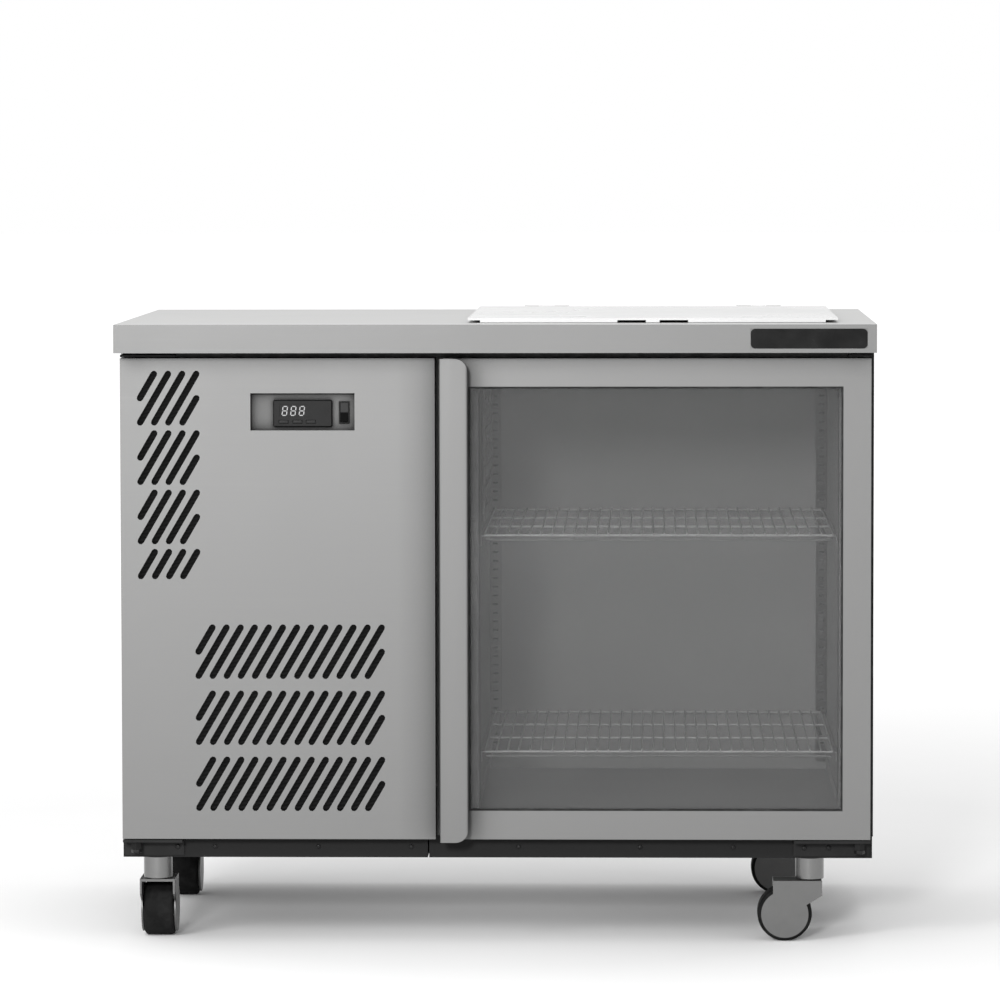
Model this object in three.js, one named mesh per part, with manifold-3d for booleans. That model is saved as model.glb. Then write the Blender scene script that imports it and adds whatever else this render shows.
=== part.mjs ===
// Under counter refrigerator with a glass door, a side-mounted refrigeration unit, a lidded pan well in
// its worktop and four swivel castors. Millimetres, +Z up, +X to the right and +Y to the back as seen
// by somebody facing the door. The origin is on the floor, below the middle of the cabinet.
import * as THREE from "three";
import { mergeVertices } from "three/addons/utils/BufferGeometryUtils.js";
import Module from "manifold-3d";

const wasm = await Module();
wasm.setup();

// ---------------------------------------------------------------- driving dimensions
const GAP = 0.3; // clearance between neighbouring pieces
const SHEET = 1.5; // folded sheet steel

const WORKTOP = { x0: -525, x1: 525, y0: -350, y1: 350, z0: 826, z1: 865 };
const CABINET = { x0: -84, x1: 523.5, y0: -258, y1: 340, z0: 147.3, z1: WORKTOP.z0 - GAP };
const CAVITY = { x0: -26, x1: 478, y0: CABINET.y0, y1: 303, z0: 178, z1: 785 };
const BASE = { y0: -262, y1: 340, z0: 117, z1: 147 };
const BASE_SEAM_X = -96;
const BODY_LEFT = -523.5;
const REAR_COVER_Y = CABINET.y1 - SHEET;

const FRONT_Y = -300; // front face of the door and of the service panel
const DOOR = { x0: -77, x1: 519.5, y0: FRONT_Y, y1: -268, z0: 147.3, z1: 816.5 };
const GLASS_VIEW = { x0: -38, x1: 481, z0: 187.3, z1: 777.6 };
const DOOR_PIVOT = { x: 505, y: -284 };
const HANDLE_Y = -330;

const PANEL = { x0: -521, x1: -84.4, y0: FRONT_Y, y1: -262, z0: 147.3, z1: 817 };
const PANEL_PIVOT = { x: -503, y: -284 };
const CONTROL_OPENING = { x0: -340, x1: -195.4, z0: 717, z1: 768.6 };
const CONTROL_Y = -287.5;

const WELL = { x0: -30, x1: 465, y0: -257.5, y1: 279.5 };
const LID = { x0: -39, x1: 474, y0: -275, y1: 281, z0: 868.7, z1: 871.7 };

const PIN_RADIUS = 4;
const CASTOR = { wheelRadius: 38, trail: 35, forkTop: 85, stemTop: BASE.z0 - GAP, stemRadius: 21 };
const CASTORS = [
  { name: "castor_front_left", x: -477, y: -240, turn: 90 },
  { name: "castor_rear_left", x: -477, y: 244, turn: 270 },
  { name: "castor_front_right", x: 437, y: -240, turn: 180 },
  { name: "castor_rear_right", x: 437, y: 244, turn: 180 },
];

// ---------------------------------------------------------------- materials
function material(color, roughness, metalness) {
  return new THREE.MeshStandardMaterial({ color, roughness, metalness });
}
const steel = material(0xa9a9a7, 0.38, 0.9);
const galvanised = material(0x7d8083, 0.55, 0.8);
const darkSteel = material(0x3a3b3c, 0.6, 0.5);
const chrome = material(0xc9cacc, 0.15, 1);
const aluminium = material(0xb4b5b6, 0.35, 0.9);
const copper = material(0xb26a3c, 0.35, 1);
const blackPlastic = material(0x17181a, 0.5, 0);
const greyPlastic = material(0x77797b, 0.5, 0);
const whitePlastic = material(0xf2f3f3, 0.3, 0);
const rubber = material(0x1d1d1e, 0.8, 0);
const blackPaint = material(0x111214, 0.35, 0.2);
const glass = new THREE.MeshStandardMaterial({
  color: 0x9fb0ad,
  roughness: 0.05,
  metalness: 0,
  transparent: true,
  opacity: 0.35,
});

// ---------------------------------------------------------------- solids
function solidOf(geometry) {
  geometry.deleteAttribute("normal");
  geometry.deleteAttribute("uv");
  const merged = mergeVertices(geometry, 1e-3);
  const vertProperties = merged.attributes.position.array;
  const triVerts = new Uint32Array(merged.index.array);
  return new wasm.Manifold(new wasm.Mesh({ numProp: 3, vertProperties, triVerts }));
}

function geometryOf(solid) {
  const made = solid.getMesh();
  const geometry = new THREE.BufferGeometry();
  geometry.setAttribute("position", new THREE.BufferAttribute(made.vertProperties, 3));
  geometry.setIndex(new THREE.BufferAttribute(made.triVerts, 1));
  geometry.computeVertexNormals();
  return geometry;
}

function box(x0, x1, y0, y1, z0, z1) {
  const geometry = new THREE.BoxGeometry(x1 - x0, y1 - y0, z1 - z0);
  geometry.translate((x0 + x1) / 2, (y0 + y1) / 2, (z0 + z1) / 2);
  return solidOf(geometry);
}

function boxOf(b) {
  return box(b.x0, b.x1, b.y0, b.y1, b.z0, b.z1);
}

// The same box with every side moved out by grow, or in where it is negative.
function grown(b, grow) {
  return {
    x0: b.x0 - grow,
    x1: b.x1 + grow,
    y0: b.y0 - grow,
    y1: b.y1 + grow,
    z0: b.z0 - grow,
    z1: b.z1 + grow,
  };
}

const TURN_TO = { x: [0, 0, -Math.PI / 2], y: [0, 0, 0], z: [Math.PI / 2, 0, 0] };

// A cylinder along an axis, from one end to the other; centre holds the two other coordinates in order.
function cylinder(axis, centre, radius, from, to, sides = 16) {
  const geometry = new THREE.CylinderGeometry(radius, radius, to - from, sides);
  const [rx, ry, rz] = TURN_TO[axis];
  geometry.rotateX(rx).rotateY(ry).rotateZ(rz);
  const middle = (from + to) / 2;
  const [a, b] = centre;
  const place = { x: [middle, a, b], y: [a, middle, b], z: [a, b, middle] }[axis];
  geometry.translate(...place);
  return solidOf(geometry);
}

// A solid of revolution about a vertical axis through (x, y); the profile holds [radius, z] pairs.
function lathe(profile, x, y, sides = 20) {
  const points = profile.map(([r, z]) => new THREE.Vector2(r, z));
  const geometry = new THREE.LatheGeometry(points, sides);
  geometry.rotateX(Math.PI / 2);
  geometry.translate(x, y, 0);
  return solidOf(geometry);
}

function extrude(shape, depth, curveSegments) {
  return new THREE.ExtrudeGeometry(shape, { depth, bevelEnabled: false, curveSegments });
}

// An outline in X and Z, extruded along Y.
function prismY(shape, y0, y1, curveSegments = 3) {
  const geometry = extrude(shape, y1 - y0, curveSegments);
  geometry.rotateX(Math.PI / 2);
  geometry.translate(0, y1, 0);
  return solidOf(geometry);
}

// An outline in X and Y, extruded along Z.
function prismZ(shape, z0, z1, curveSegments = 3) {
  const geometry = extrude(shape, z1 - z0, curveSegments);
  geometry.translate(0, 0, z0);
  return solidOf(geometry);
}

// An outline in Y and Z, extruded along X.
function prismX(shape, x0, x1, curveSegments = 3) {
  const geometry = extrude(shape, x1 - x0, curveSegments);
  geometry.rotateX(Math.PI / 2);
  geometry.rotateZ(Math.PI / 2);
  geometry.translate(x0, 0, 0);
  return solidOf(geometry);
}

function join(...solids) {
  return wasm.Manifold.union(solids);
}

function rectangle(x0, x1, y0, y1, radius = 0) {
  const shape = new THREE.Shape();
  if (!radius) {
    shape.moveTo(x0, y0).lineTo(x1, y0).lineTo(x1, y1).lineTo(x0, y1).closePath();
    return shape;
  }
  shape.absarc(x1 - radius, y0 + radius, radius, -Math.PI / 2, 0);
  shape.absarc(x1 - radius, y1 - radius, radius, 0, Math.PI / 2);
  shape.absarc(x0 + radius, y1 - radius, radius, Math.PI / 2, Math.PI);
  shape.absarc(x0 + radius, y0 + radius, radius, Math.PI, 1.5 * Math.PI);
  shape.closePath();
  return shape;
}

function polygon(points) {
  return new THREE.Shape(points.map(([x, y]) => new THREE.Vector2(x, y)));
}

const object = new THREE.Group();

function place(name, solid, look) {
  const mesh = new THREE.Mesh(geometryOf(solid), look);
  mesh.name = name;
  object.add(mesh);
}

// ---------------------------------------------------------------- worktop and pan well
const NAME_PLATE = { x0: 352, x1: 512, z0: 832, z1: 859, depth: 1.2 };

function buildWorktop() {
  const skin = 2;
  const hollow = { ...grown(WORKTOP, -skin), z0: WORKTOP.z0 - 1 };
  const well = { ...WELL, z0: WORKTOP.z0, z1: WORKTOP.z1 };
  const collar = boxOf({ ...grown(well, skin), z0: well.z0, z1: well.z1 });
  const cutout = boxOf({ ...well, z0: well.z0 - 1, z1: well.z1 + 1 });
  const pocket = box(
    NAME_PLATE.x0 - GAP,
    NAME_PLATE.x1 + GAP,
    WORKTOP.y0 - 1,
    WORKTOP.y0 + NAME_PLATE.depth + GAP,
    NAME_PLATE.z0 - GAP,
    NAME_PLATE.z1 + GAP,
  );
  const backing = box(
    NAME_PLATE.x0 - 4,
    NAME_PLATE.x1 + 4,
    WORKTOP.y0 + 1,
    WORKTOP.y0 + 4,
    NAME_PLATE.z0 - 4,
    NAME_PLATE.z1 + 4,
  );
  const shell = boxOf(WORKTOP).subtract(boxOf(hollow));
  place("worktop", join(shell, backing, collar).subtract(pocket).subtract(cutout), steel);

  const outline = rectangle(NAME_PLATE.x0, NAME_PLATE.x1, NAME_PLATE.z0, NAME_PLATE.z1, 6);
  place("name_plate", prismY(outline, WORKTOP.y0, WORKTOP.y0 + NAME_PLATE.depth), blackPlastic);
}

const PAN_RIM_Z = 849.2; // top of the pans' rims
const PAN_LEDGE_Z = 847.4; // top of the ledge they rest on
const PAN_DEPTH = 65;
const PANS = [
  { name: "pan_half_front", x0: -27, x1: 297.5, y0: -254.5, y1: 10.5 },
  { name: "pan_half_rear", x0: -27, x1: 297.5, y0: 11.5, y1: 276.5 },
  { name: "pan_long_right", x0: 299.5, x1: 461.5, y0: -254.5, y1: 276.5 },
];
const HINGE_BARREL = { y: 286, z: 869.8, radius: 3, pinRadius: 1.5 };
const LID_HINGES = [60, 375]; // x of the middle of each hinge
const KNUCKLE = 22; // length of one knuckle

function buildWellFrame() {
  const o = { x0: WELL.x0 + 0.8, x1: WELL.x1 - 0.8, y0: WELL.y0 + 0.8, y1: WELL.y1 - 0.8 };
  const ledge = 8;
  const bar = 14;
  const outer = box(o.x0, o.x1, o.y0, o.y1, PAN_LEDGE_Z - SHEET, WORKTOP.z1);
  const above = box(o.x0 + SHEET, o.x1 - SHEET, o.y0 + SHEET, o.y1 - SHEET, PAN_LEDGE_Z, WORKTOP.z1 + 1);
  const hole = box(
    o.x0 + SHEET + ledge,
    o.x1 - SHEET - ledge,
    o.y0 + SHEET + ledge,
    o.y1 - SHEET - ledge,
    PAN_LEDGE_Z - 5,
    PAN_LEDGE_Z + 1,
  );
  const barZ = [PAN_LEDGE_Z - SHEET, PAN_LEDGE_Z];
  const longBar = box(298.5 - bar / 2, 298.5 + bar / 2, o.y0 + 2, o.y1 - 2, ...barZ);
  const crossBar = box(o.x0 + 2, 298.5, 11 - bar / 2, 11 + bar / 2, ...barZ);
  let frame = join(outer.subtract(above).subtract(hole), longBar, crossBar);

  // A strip along the back edge lies on the worktop and carries the fixed knuckles of the lid's hinges.
  const plateZ = [WORKTOP.z1 + GAP, WORKTOP.z1 + GAP + SHEET];
  const { y, z, radius, pinRadius } = HINGE_BARREL;
  const upstand = box(o.x0 + 40, o.x1 - 40, o.y1 - SHEET, o.y1, WORKTOP.z1 - 5, plateZ[1]);
  frame = join(frame, upstand, box(o.x0 + 40, o.x1 - 40, o.y1 - SHEET, y + 8, ...plateZ));
  for (const x of LID_HINGES) {
    const from = x - 1.5 * KNUCKLE;
    const to = x + 1.5 * KNUCKLE;
    const web = 1.2;
    for (const start of [from, to - KNUCKLE]) {
      const knuckle = cylinder("x", [y, z], radius, start, start + KNUCKLE, 12);
      const foot = box(start, start + KNUCKLE, y - web, y + web, plateZ[0] + 0.5, z);
      frame = join(frame, knuckle, foot);
    }
    frame = frame.add(cylinder("x", [y, z], pinRadius, from + 1, to - 1, 8));
  }
  place("well_frame", frame, steel);
}

function buildPans() {
  const wall = 1;
  const rim = 12;
  const corner = 14;
  for (const pan of PANS) {
    const rimPlate = prismZ(rectangle(pan.x0, pan.x1, pan.y0, pan.y1, 10), PAN_RIM_Z - 1.3, PAN_RIM_Z, 2);
    const tub = (inset, z0, z1) =>
      prismZ(
        rectangle(
          pan.x0 + rim + inset,
          pan.x1 - rim - inset,
          pan.y0 + rim + inset,
          pan.y1 - rim - inset,
          corner - inset,
        ),
        z0,
        z1,
        2,
      );
    const bottom = PAN_RIM_Z - PAN_DEPTH;
    const solid = join(rimPlate, tub(0, bottom, PAN_RIM_Z));
    place(pan.name, solid.subtract(tub(wall, bottom + wall, PAN_RIM_Z + 1)), steel);
  }
}

function buildLid() {
  const middle = (LID.x0 + LID.x1) / 2;
  const lip = { y0: LID.y0, y1: LID.y0 + 4, z0: WORKTOP.z1 + 0.6, z1: LID.z0 + 1 };
  const fingerGap = 98;
  const inset = 17;
  let lid = boxOf(LID);
  // The front lip stops short of a finger gap in the middle, and a grip tab hangs in the gap.
  lid = lid.add(box(LID.x0 + inset, middle - fingerGap / 2, lip.y0, lip.y1, lip.z0, lip.z1));
  lid = lid.add(box(middle + fingerGap / 2, LID.x1 - inset, lip.y0, lip.y1, lip.z0, lip.z1));
  lid = lid.add(box(middle - 9.5, middle + 9.5, lip.y0, lip.y1 + 3, lip.z0, lip.z1));
  // Ribs along both sides, and the bumpers that the front edge rests on.
  for (const x of [LID.x0 + inset, LID.x1 - inset - 3]) {
    lid = lid.add(box(x, x + 3, LID.y0 + 2, LID.y1 - 12, lip.z0, lip.z1));
  }
  for (const x of [LID.x0 + 30, LID.x1 - 44]) {
    lid = lid.add(box(x, x + 14, LID.y0 + 8, LID.y0 + 15, WORKTOP.z1 + GAP, lip.z1));
  }
  const { y, z, radius, pinRadius } = HINGE_BARREL;
  for (const x of LID_HINGES) {
    const from = x - KNUCKLE / 2 + 0.5;
    const to = x + KNUCKLE / 2 - 0.5;
    const leaf = box(from, to, LID.y1 - 20, y, LID.z0 + 0.4, LID.z0 + 2.4);
    const knuckle = cylinder("x", [y, z], radius, from, to, 12);
    const bore = cylinder("x", [y, z], pinRadius + 0.3, from - 1, to + 1, 8);
    lid = lid.add(leaf).add(knuckle).subtract(bore);
  }
  place("lid", lid, whitePlastic);
}

// ---------------------------------------------------------------- cabinet and base
const DUCT = { y0: -84, y1: 224, z0: 584, z1: 764 };

function buildCabinet() {
  // Two skins of sheet steel with a space for foam between them, which a filling hole opens at the back.
  const ceilingHole = { x0: -19, x1: 454, y0: -246, y1: 269, z0: CAVITY.z1 - 3, z1: CABINET.z1 + 3 };
  const duct = { x0: CABINET.x0 - 5, x1: CAVITY.x0 + 5, ...DUCT };
  const cavity = { ...CAVITY, y0: CAVITY.y0 - 5 };
  const openings = [cavity, ceilingHole, duct];
  let foam = boxOf(grown(CABINET, -SHEET));
  for (const opening of openings) foam = foam.subtract(boxOf(grown(opening, SHEET)));
  let cabinet = boxOf(CABINET).subtract(foam);
  for (const opening of openings) cabinet = cabinet.subtract(boxOf(opening));
  const fillingHole = cylinder("y", [225, 163], 9, CABINET.y1 - 4, CABINET.y1 + 4, 12);
  place("insulated_cabinet", cabinet.subtract(fillingHole), steel);
}

function tray(x0, x1, floor) {
  const inner = box(x0 + 2, x1 - 2, BASE.y0 + 2, BASE.y1 - 2, BASE.z0 + floor, BASE.z1 + 1);
  return box(x0, x1, BASE.y0, BASE.y1, BASE.z0, BASE.z1).subtract(inner);
}

function buildBase() {
  place("unit_base_tray", tray(BODY_LEFT, BASE_SEAM_X - 1, 3), darkSteel);
  place("cabinet_base", tray(BASE_SEAM_X + 1, CABINET.x1, 3), darkSteel);
}

function buildUnitCasing() {
  const z0 = CABINET.z0;
  const z1 = CABINET.z1;
  const y0 = -255;
  const flange = 22;
  const side = join(
    box(BODY_LEFT, BODY_LEFT + SHEET, y0, REAR_COVER_Y - GAP, z0, z1),
    box(BODY_LEFT, BODY_LEFT + flange, y0, y0 + SHEET, z0, z1),
    box(BODY_LEFT, BODY_LEFT + flange, REAR_COVER_Y - GAP - SHEET, REAR_COVER_Y - GAP, z0, z1),
  );
  place("side_panel_left", side, steel);

  const slots = [];
  for (let row = 0; row < 8; row++) {
    const z = 200 + row * 36;
    slots.push(box(-460, -320, REAR_COVER_Y - 1, CABINET.y1 + 1, z, z + 12));
    slots.push(box(-290, -150, REAR_COVER_Y - 1, CABINET.y1 + 1, z, z + 12));
  }
  const cover = box(BODY_LEFT, CABINET.x0 - 0.6, REAR_COVER_Y, CABINET.y1, z0, z1);
  const gland = cylinder("y", [-480, 175], 11, REAR_COVER_Y - 14, CABINET.y1 + 9, 12);
  const bore = cylinder("y", [-480, 175], 6, REAR_COVER_Y - 20, CABINET.y1 + 20, 12);
  place("unit_back_cover", cover.add(gland).subtract(join(bore, ...slots)), galvanised);
}

// ---------------------------------------------------------------- inside the cabinet
const PILASTER = { width: 17, depth: 6, z0: 190, z1: 765, frontY: -215 };
const SHELF = { x0: -18.5, x1: 470.5, y0: -244, y1: 294, wires: 16, rows: 4, wire: 3.2, thickness: 5 };
const SHELF_TOPS = { upper: 571, lower: 267.5 };

function buildRacking() {
  const { width, depth, z0, z1, frontY } = PILASTER;
  // Each side has a rear upright on the back wall and a front upright on the side wall, tied together.
  for (const [name, wall, inward] of [["left", CAVITY.x0, 1], ["right", CAVITY.x1, -1]]) {
    const span = (from, to) => {
      const a = wall + inward * from;
      const b = wall + inward * to;
      return [Math.min(a, b), Math.max(a, b)];
    };
    const back = CAVITY.y1 - GAP;
    const rear = box(...span(GAP, width + GAP), back - depth, back, z0, z1);
    const channel = box(...span(4, width - 3.4), back - depth + 1.5, back + 1, z0 - 1, z1 + 1);
    const front = box(...span(GAP, 2.3), frontY, frontY + width, z0, z1);
    const tie = (z) => box(...span(GAP, 2.3), frontY + 5, back - 3, z, z + 12);
    place("pilaster_" + name, join(rear.subtract(channel), front, tie(z0), tie(z1 - 12)), steel);

    for (const [level, top] of Object.entries(SHELF_TOPS)) {
      const z = top - SHELF.thickness - GAP;
      const web = box(...span(2.7, 4.2), frontY - 10, back - depth - GAP, z - 14, z);
      const shelfLeg = box(...span(2.7, 16), frontY - 10, back - depth - GAP, z - 1.5, z);
      place("shelf_runner_" + level + "_" + name, join(web, shelfLeg), steel);
    }
  }
}

function buildShelves() {
  const { x0, x1, y0, y1, wires, rows, wire, thickness } = SHELF;
  const pitchX = (x1 - x0 - wire) / (wires - 1);
  const pitchY = (y1 - y0 - wire) / (rows - 1);
  for (const [level, top] of Object.entries(SHELF_TOPS)) {
    const bars = [];
    for (let i = 0; i < wires; i++) {
      const x = x0 + i * pitchX;
      bars.push(box(x, x + wire, y0, y1, top - thickness, top));
    }
    for (let i = 0; i < rows; i++) {
      const y = y0 + i * pitchY;
      bars.push(box(x0, x1, y, y + wire, top - thickness, top));
    }
    place("shelf_" + level, join(...bars), chrome);
  }
}

// ---------------------------------------------------------------- door
const GLASS_REBATE = 12; // how far the panes reach into the frame
const PANE_THICKNESS = 4;

function frameBetween(outer, inner) {
  const shape = rectangle(outer.x0, outer.x1, outer.z0, outer.z1);
  shape.holes.push(rectangle(inner.x0, inner.x1, inner.z0, inner.z1));
  return shape;
}

// A rectangle in X and Z with every side moved out by grow, or in where it is negative.
function widened({ x0, x1, z0, z1 }, grow) {
  return { x0: x0 - grow, x1: x1 + grow, z0: z0 - grow, z1: z1 + grow };
}

function buildDoor() {
  const groove = widened(GLASS_VIEW, GLASS_REBATE);
  const pane = widened(groove, -0.5);
  const grooveY = [DOOR.y0 + 4, DOOR.y1 - 3];
  const hole = (z0, z1) => cylinder("z", [DOOR_PIVOT.x, DOOR_PIVOT.y], PIN_RADIUS + 0.4, z0, z1, 12);
  const frame = prismY(frameBetween(DOOR, GLASS_VIEW), DOOR.y0, DOOR.y1)
    .subtract(box(groove.x0, groove.x1, ...grooveY, groove.z0, groove.z1))
    .subtract(hole(DOOR.z0 - 1, DOOR.z0 + 20))
    .subtract(hole(DOOR.z1 - 20, DOOR.z1 + 1));
  place("door_frame", frame, aluminium);

  const outerY = grooveY[0] + GAP;
  const innerY = grooveY[1] - GAP - PANE_THICKNESS;
  const paneShape = rectangle(pane.x0, pane.x1, pane.z0, pane.z1);
  place("door_glass_outer", prismY(paneShape, outerY, outerY + PANE_THICKNESS), glass);
  place("door_glass_inner", prismY(paneShape, innerY, innerY + PANE_THICKNESS), glass);
  const spacerShape = frameBetween(pane, widened(GLASS_VIEW, -1));
  const spacer = prismY(spacerShape, outerY + PANE_THICKNESS + GAP, innerY - GAP);
  place("glazing_spacer", spacer, blackPlastic);

  const sealOuter = { x0: -50, x1: 500, z0: 156, z1: 809 };
  const sealShape = frameBetween(sealOuter, widened(sealOuter, -14));
  const seal = prismY(sealShape, DOOR.y1 + GAP, CABINET.y0 - 0.5);
  place("door_gasket", seal, rubber);
}

function buildHandle() {
  const x0 = DOOR.x0;
  const x1 = -38;
  const z0 = DOOR.z0 - 1.2;
  const z1 = DOOR.z1 + 0.5;
  const nose = 2.5;
  const foot = DOOR.y0 - GAP;
  // The section: a foot on the door, a web along its edge and a grip flange with a rounded nose.
  const section = new THREE.Shape();
  section.moveTo(x0, foot);
  section.lineTo(x0, HANDLE_Y + 2);
  section.absarc(x0 + 2, HANDLE_Y + 2, 2, Math.PI, 1.5 * Math.PI);
  section.lineTo(x1 - nose, HANDLE_Y);
  section.absarc(x1 - nose, HANDLE_Y + nose, nose, -Math.PI / 2, Math.PI / 2);
  section.lineTo(x0 + 4, HANDLE_Y + 2 * nose);
  section.lineTo(x0 + 4, foot - 3);
  section.lineTo(x0 + 18, foot - 3);
  section.lineTo(x0 + 18, foot);
  section.closePath();
  const corner = 18;
  const silhouette = new THREE.Shape();
  silhouette.moveTo(x0 - 1, z0);
  silhouette.absarc(x1 - corner, z0 + corner, corner, -Math.PI / 2, 0);
  silhouette.absarc(x1 - corner, z1 - corner, corner, 0, Math.PI / 2);
  silhouette.lineTo(x0 - 1, z1);
  silhouette.closePath();
  const handle = prismZ(section, z0, z1, 3).intersect(prismY(silhouette, HANDLE_Y - 2, foot + 1, 5));
  place("door_handle", handle, steel);
}

// A pivot bracket: an upright leg on the carcass, a shelf in front of it, and a pin with its nut.
function bracket({ x0, x1, legY, legZ, shelfZ, pivot, pin }) {
  const leg = box(x0, x1, ...legY, ...legZ);
  const shelf = box(x0, x1, pivot.y - 12, legY[1], ...shelfZ);
  return join(leg, shelf, cylinder("z", [pivot.x, pivot.y], PIN_RADIUS, ...pin, 12));
}

function buildHinges() {
  const lower = {
    legY: [BASE.y0 - GAP - 3, BASE.y0 - GAP],
    legZ: [120, 145.5],
    shelfZ: [141.5, 145.5],
    pin: [141, DOOR.z0 + 15],
  };
  const nut = (pivot) => cylinder("z", [pivot.x, pivot.y], 8, 131, 142, 6);
  const doorLower = bracket({ ...lower, x0: 414, x1: 520, pivot: DOOR_PIVOT }).add(nut(DOOR_PIVOT));
  const panelLower = bracket({ ...lower, x0: -521, x1: -438, pivot: PANEL_PIVOT }).add(nut(PANEL_PIVOT));
  place("door_hinge_lower", doorLower, galvanised);
  place("panel_hinge_lower", panelLower, galvanised);

  const upper = { legZ: [818.6, 825.2], shelfZ: [818.6, 821.6] };
  const doorLegY = [CABINET.y0 - GAP - 2.5, CABINET.y0 - GAP];
  const panelLegY = [-258, -255 - GAP];
  const door = { x0: 488, x1: 520, legY: doorLegY, pivot: DOOR_PIVOT, pin: [DOOR.z1 - 15, 820] };
  const panel = { x0: -521, x1: -444, legY: panelLegY, pivot: PANEL_PIVOT, pin: [PANEL.z1 - 15, 820] };
  place("door_hinge_upper", bracket({ ...upper, ...door }), galvanised);
  place("panel_hinge_upper", bracket({ ...upper, ...panel }), galvanised);
}

// ---------------------------------------------------------------- service panel
const SLOT = { radius: 4.55, pitch: 19.62, longRise: 67.5, shortRise: 33.75 };
const SIDE_VENTS = { x: -493.2, top: 795.6, pitch: 82.5, bands: 3, long: 3 };
const COIL_VENTS = { x: -413.7, top: 442.9, pitch: 92.3, bands: 3, long: 12 };

// A slanted ventilation slot: its lower end's centre is at (x, z), and it leans over to the right.
function slot(x, z, isLong) {
  const run = SLOT.pitch * (isLong ? 2 : 1);
  const rise = isLong ? SLOT.longRise : SLOT.shortRise;
  const lean = Math.atan2(rise, run);
  const path = new THREE.Path();
  path.absarc(x + run, z + rise, SLOT.radius, lean - Math.PI / 2, lean + Math.PI / 2);
  path.absarc(x, z, SLOT.radius, lean + Math.PI / 2, lean + 1.5 * Math.PI);
  path.closePath();
  return path;
}

// A band of slots that fills a parallelogram's corners with a short slot at either end.
function slotBand(firstX, topZ, longCount) {
  const bottomZ = topZ - SLOT.longRise;
  const band = [slot(firstX, topZ - SLOT.shortRise, false)];
  for (let i = 0; i < longCount; i++) band.push(slot(firstX + i * SLOT.pitch, bottomZ, true));
  band.push(slot(firstX + longCount * SLOT.pitch, bottomZ, false));
  return band;
}

function ventSlots() {
  const slots = [];
  for (const { x, top, pitch, bands, long } of [SIDE_VENTS, COIL_VENTS]) {
    for (let band = 0; band < bands; band++) slots.push(...slotBand(x, top - band * pitch, long));
  }
  // A last row of short slots ends the vents at the side.
  const lastZ = SIDE_VENTS.top - SIDE_VENTS.bands * SIDE_VENTS.pitch - SLOT.shortRise;
  for (let i = 0; i <= SIDE_VENTS.long; i++) {
    slots.push(slot(SIDE_VENTS.x + i * SLOT.pitch, lastZ, false));
  }
  return slots;
}

function buildServicePanel() {
  const face = rectangle(PANEL.x0, PANEL.x1, PANEL.z0, PANEL.z1);
  const opening = CONTROL_OPENING;
  face.holes.push(rectangle(opening.x0, opening.x1, opening.z0, opening.z1), ...ventSlots());
  const returns = boxOf(PANEL).subtract(
    box(PANEL.x0 + SHEET, PANEL.x1 - SHEET, PANEL.y0 - 1, PANEL.y1 + 1, PANEL.z0 + SHEET, PANEL.z1 - SHEET),
  );
  // The opening for the controls has a rim that is folded inwards.
  const collarShape = frameBetween(widened(opening, SHEET), opening);
  const collar = prismY(collarShape, PANEL.y0 + 0.5, CONTROL_Y - 1.5);
  const hole = (z) => cylinder("z", [PANEL_PIVOT.x, PANEL_PIVOT.y], PIN_RADIUS + 0.4, z - 4, z + 4, 12);
  const panel = join(prismY(face, PANEL.y0, PANEL.y0 + SHEET, 2), returns, collar)
    .subtract(hole(PANEL.z0))
    .subtract(hole(PANEL.z1));
  place("service_panel", panel, steel);
}

// ---------------------------------------------------------------- controls
const CONTROLLER = { x0: -308.7, x1: -227, z0: 721.7, z1: 758.8, proud: 6, bodyInset: 5 };
const BUTTONS = [-294.3, -275, -256.4]; // x of each button's centre
const BUTTON = { width: 13, height: 4.6, z: 728.6, proud: 0.8, length: 4 };
const SWITCH = { x: -210.3, z: 741.3, halfWidth: 5.9, halfHeight: 14 };
const ROCKER = { y: -286.5, tilt: 7 };

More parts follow.
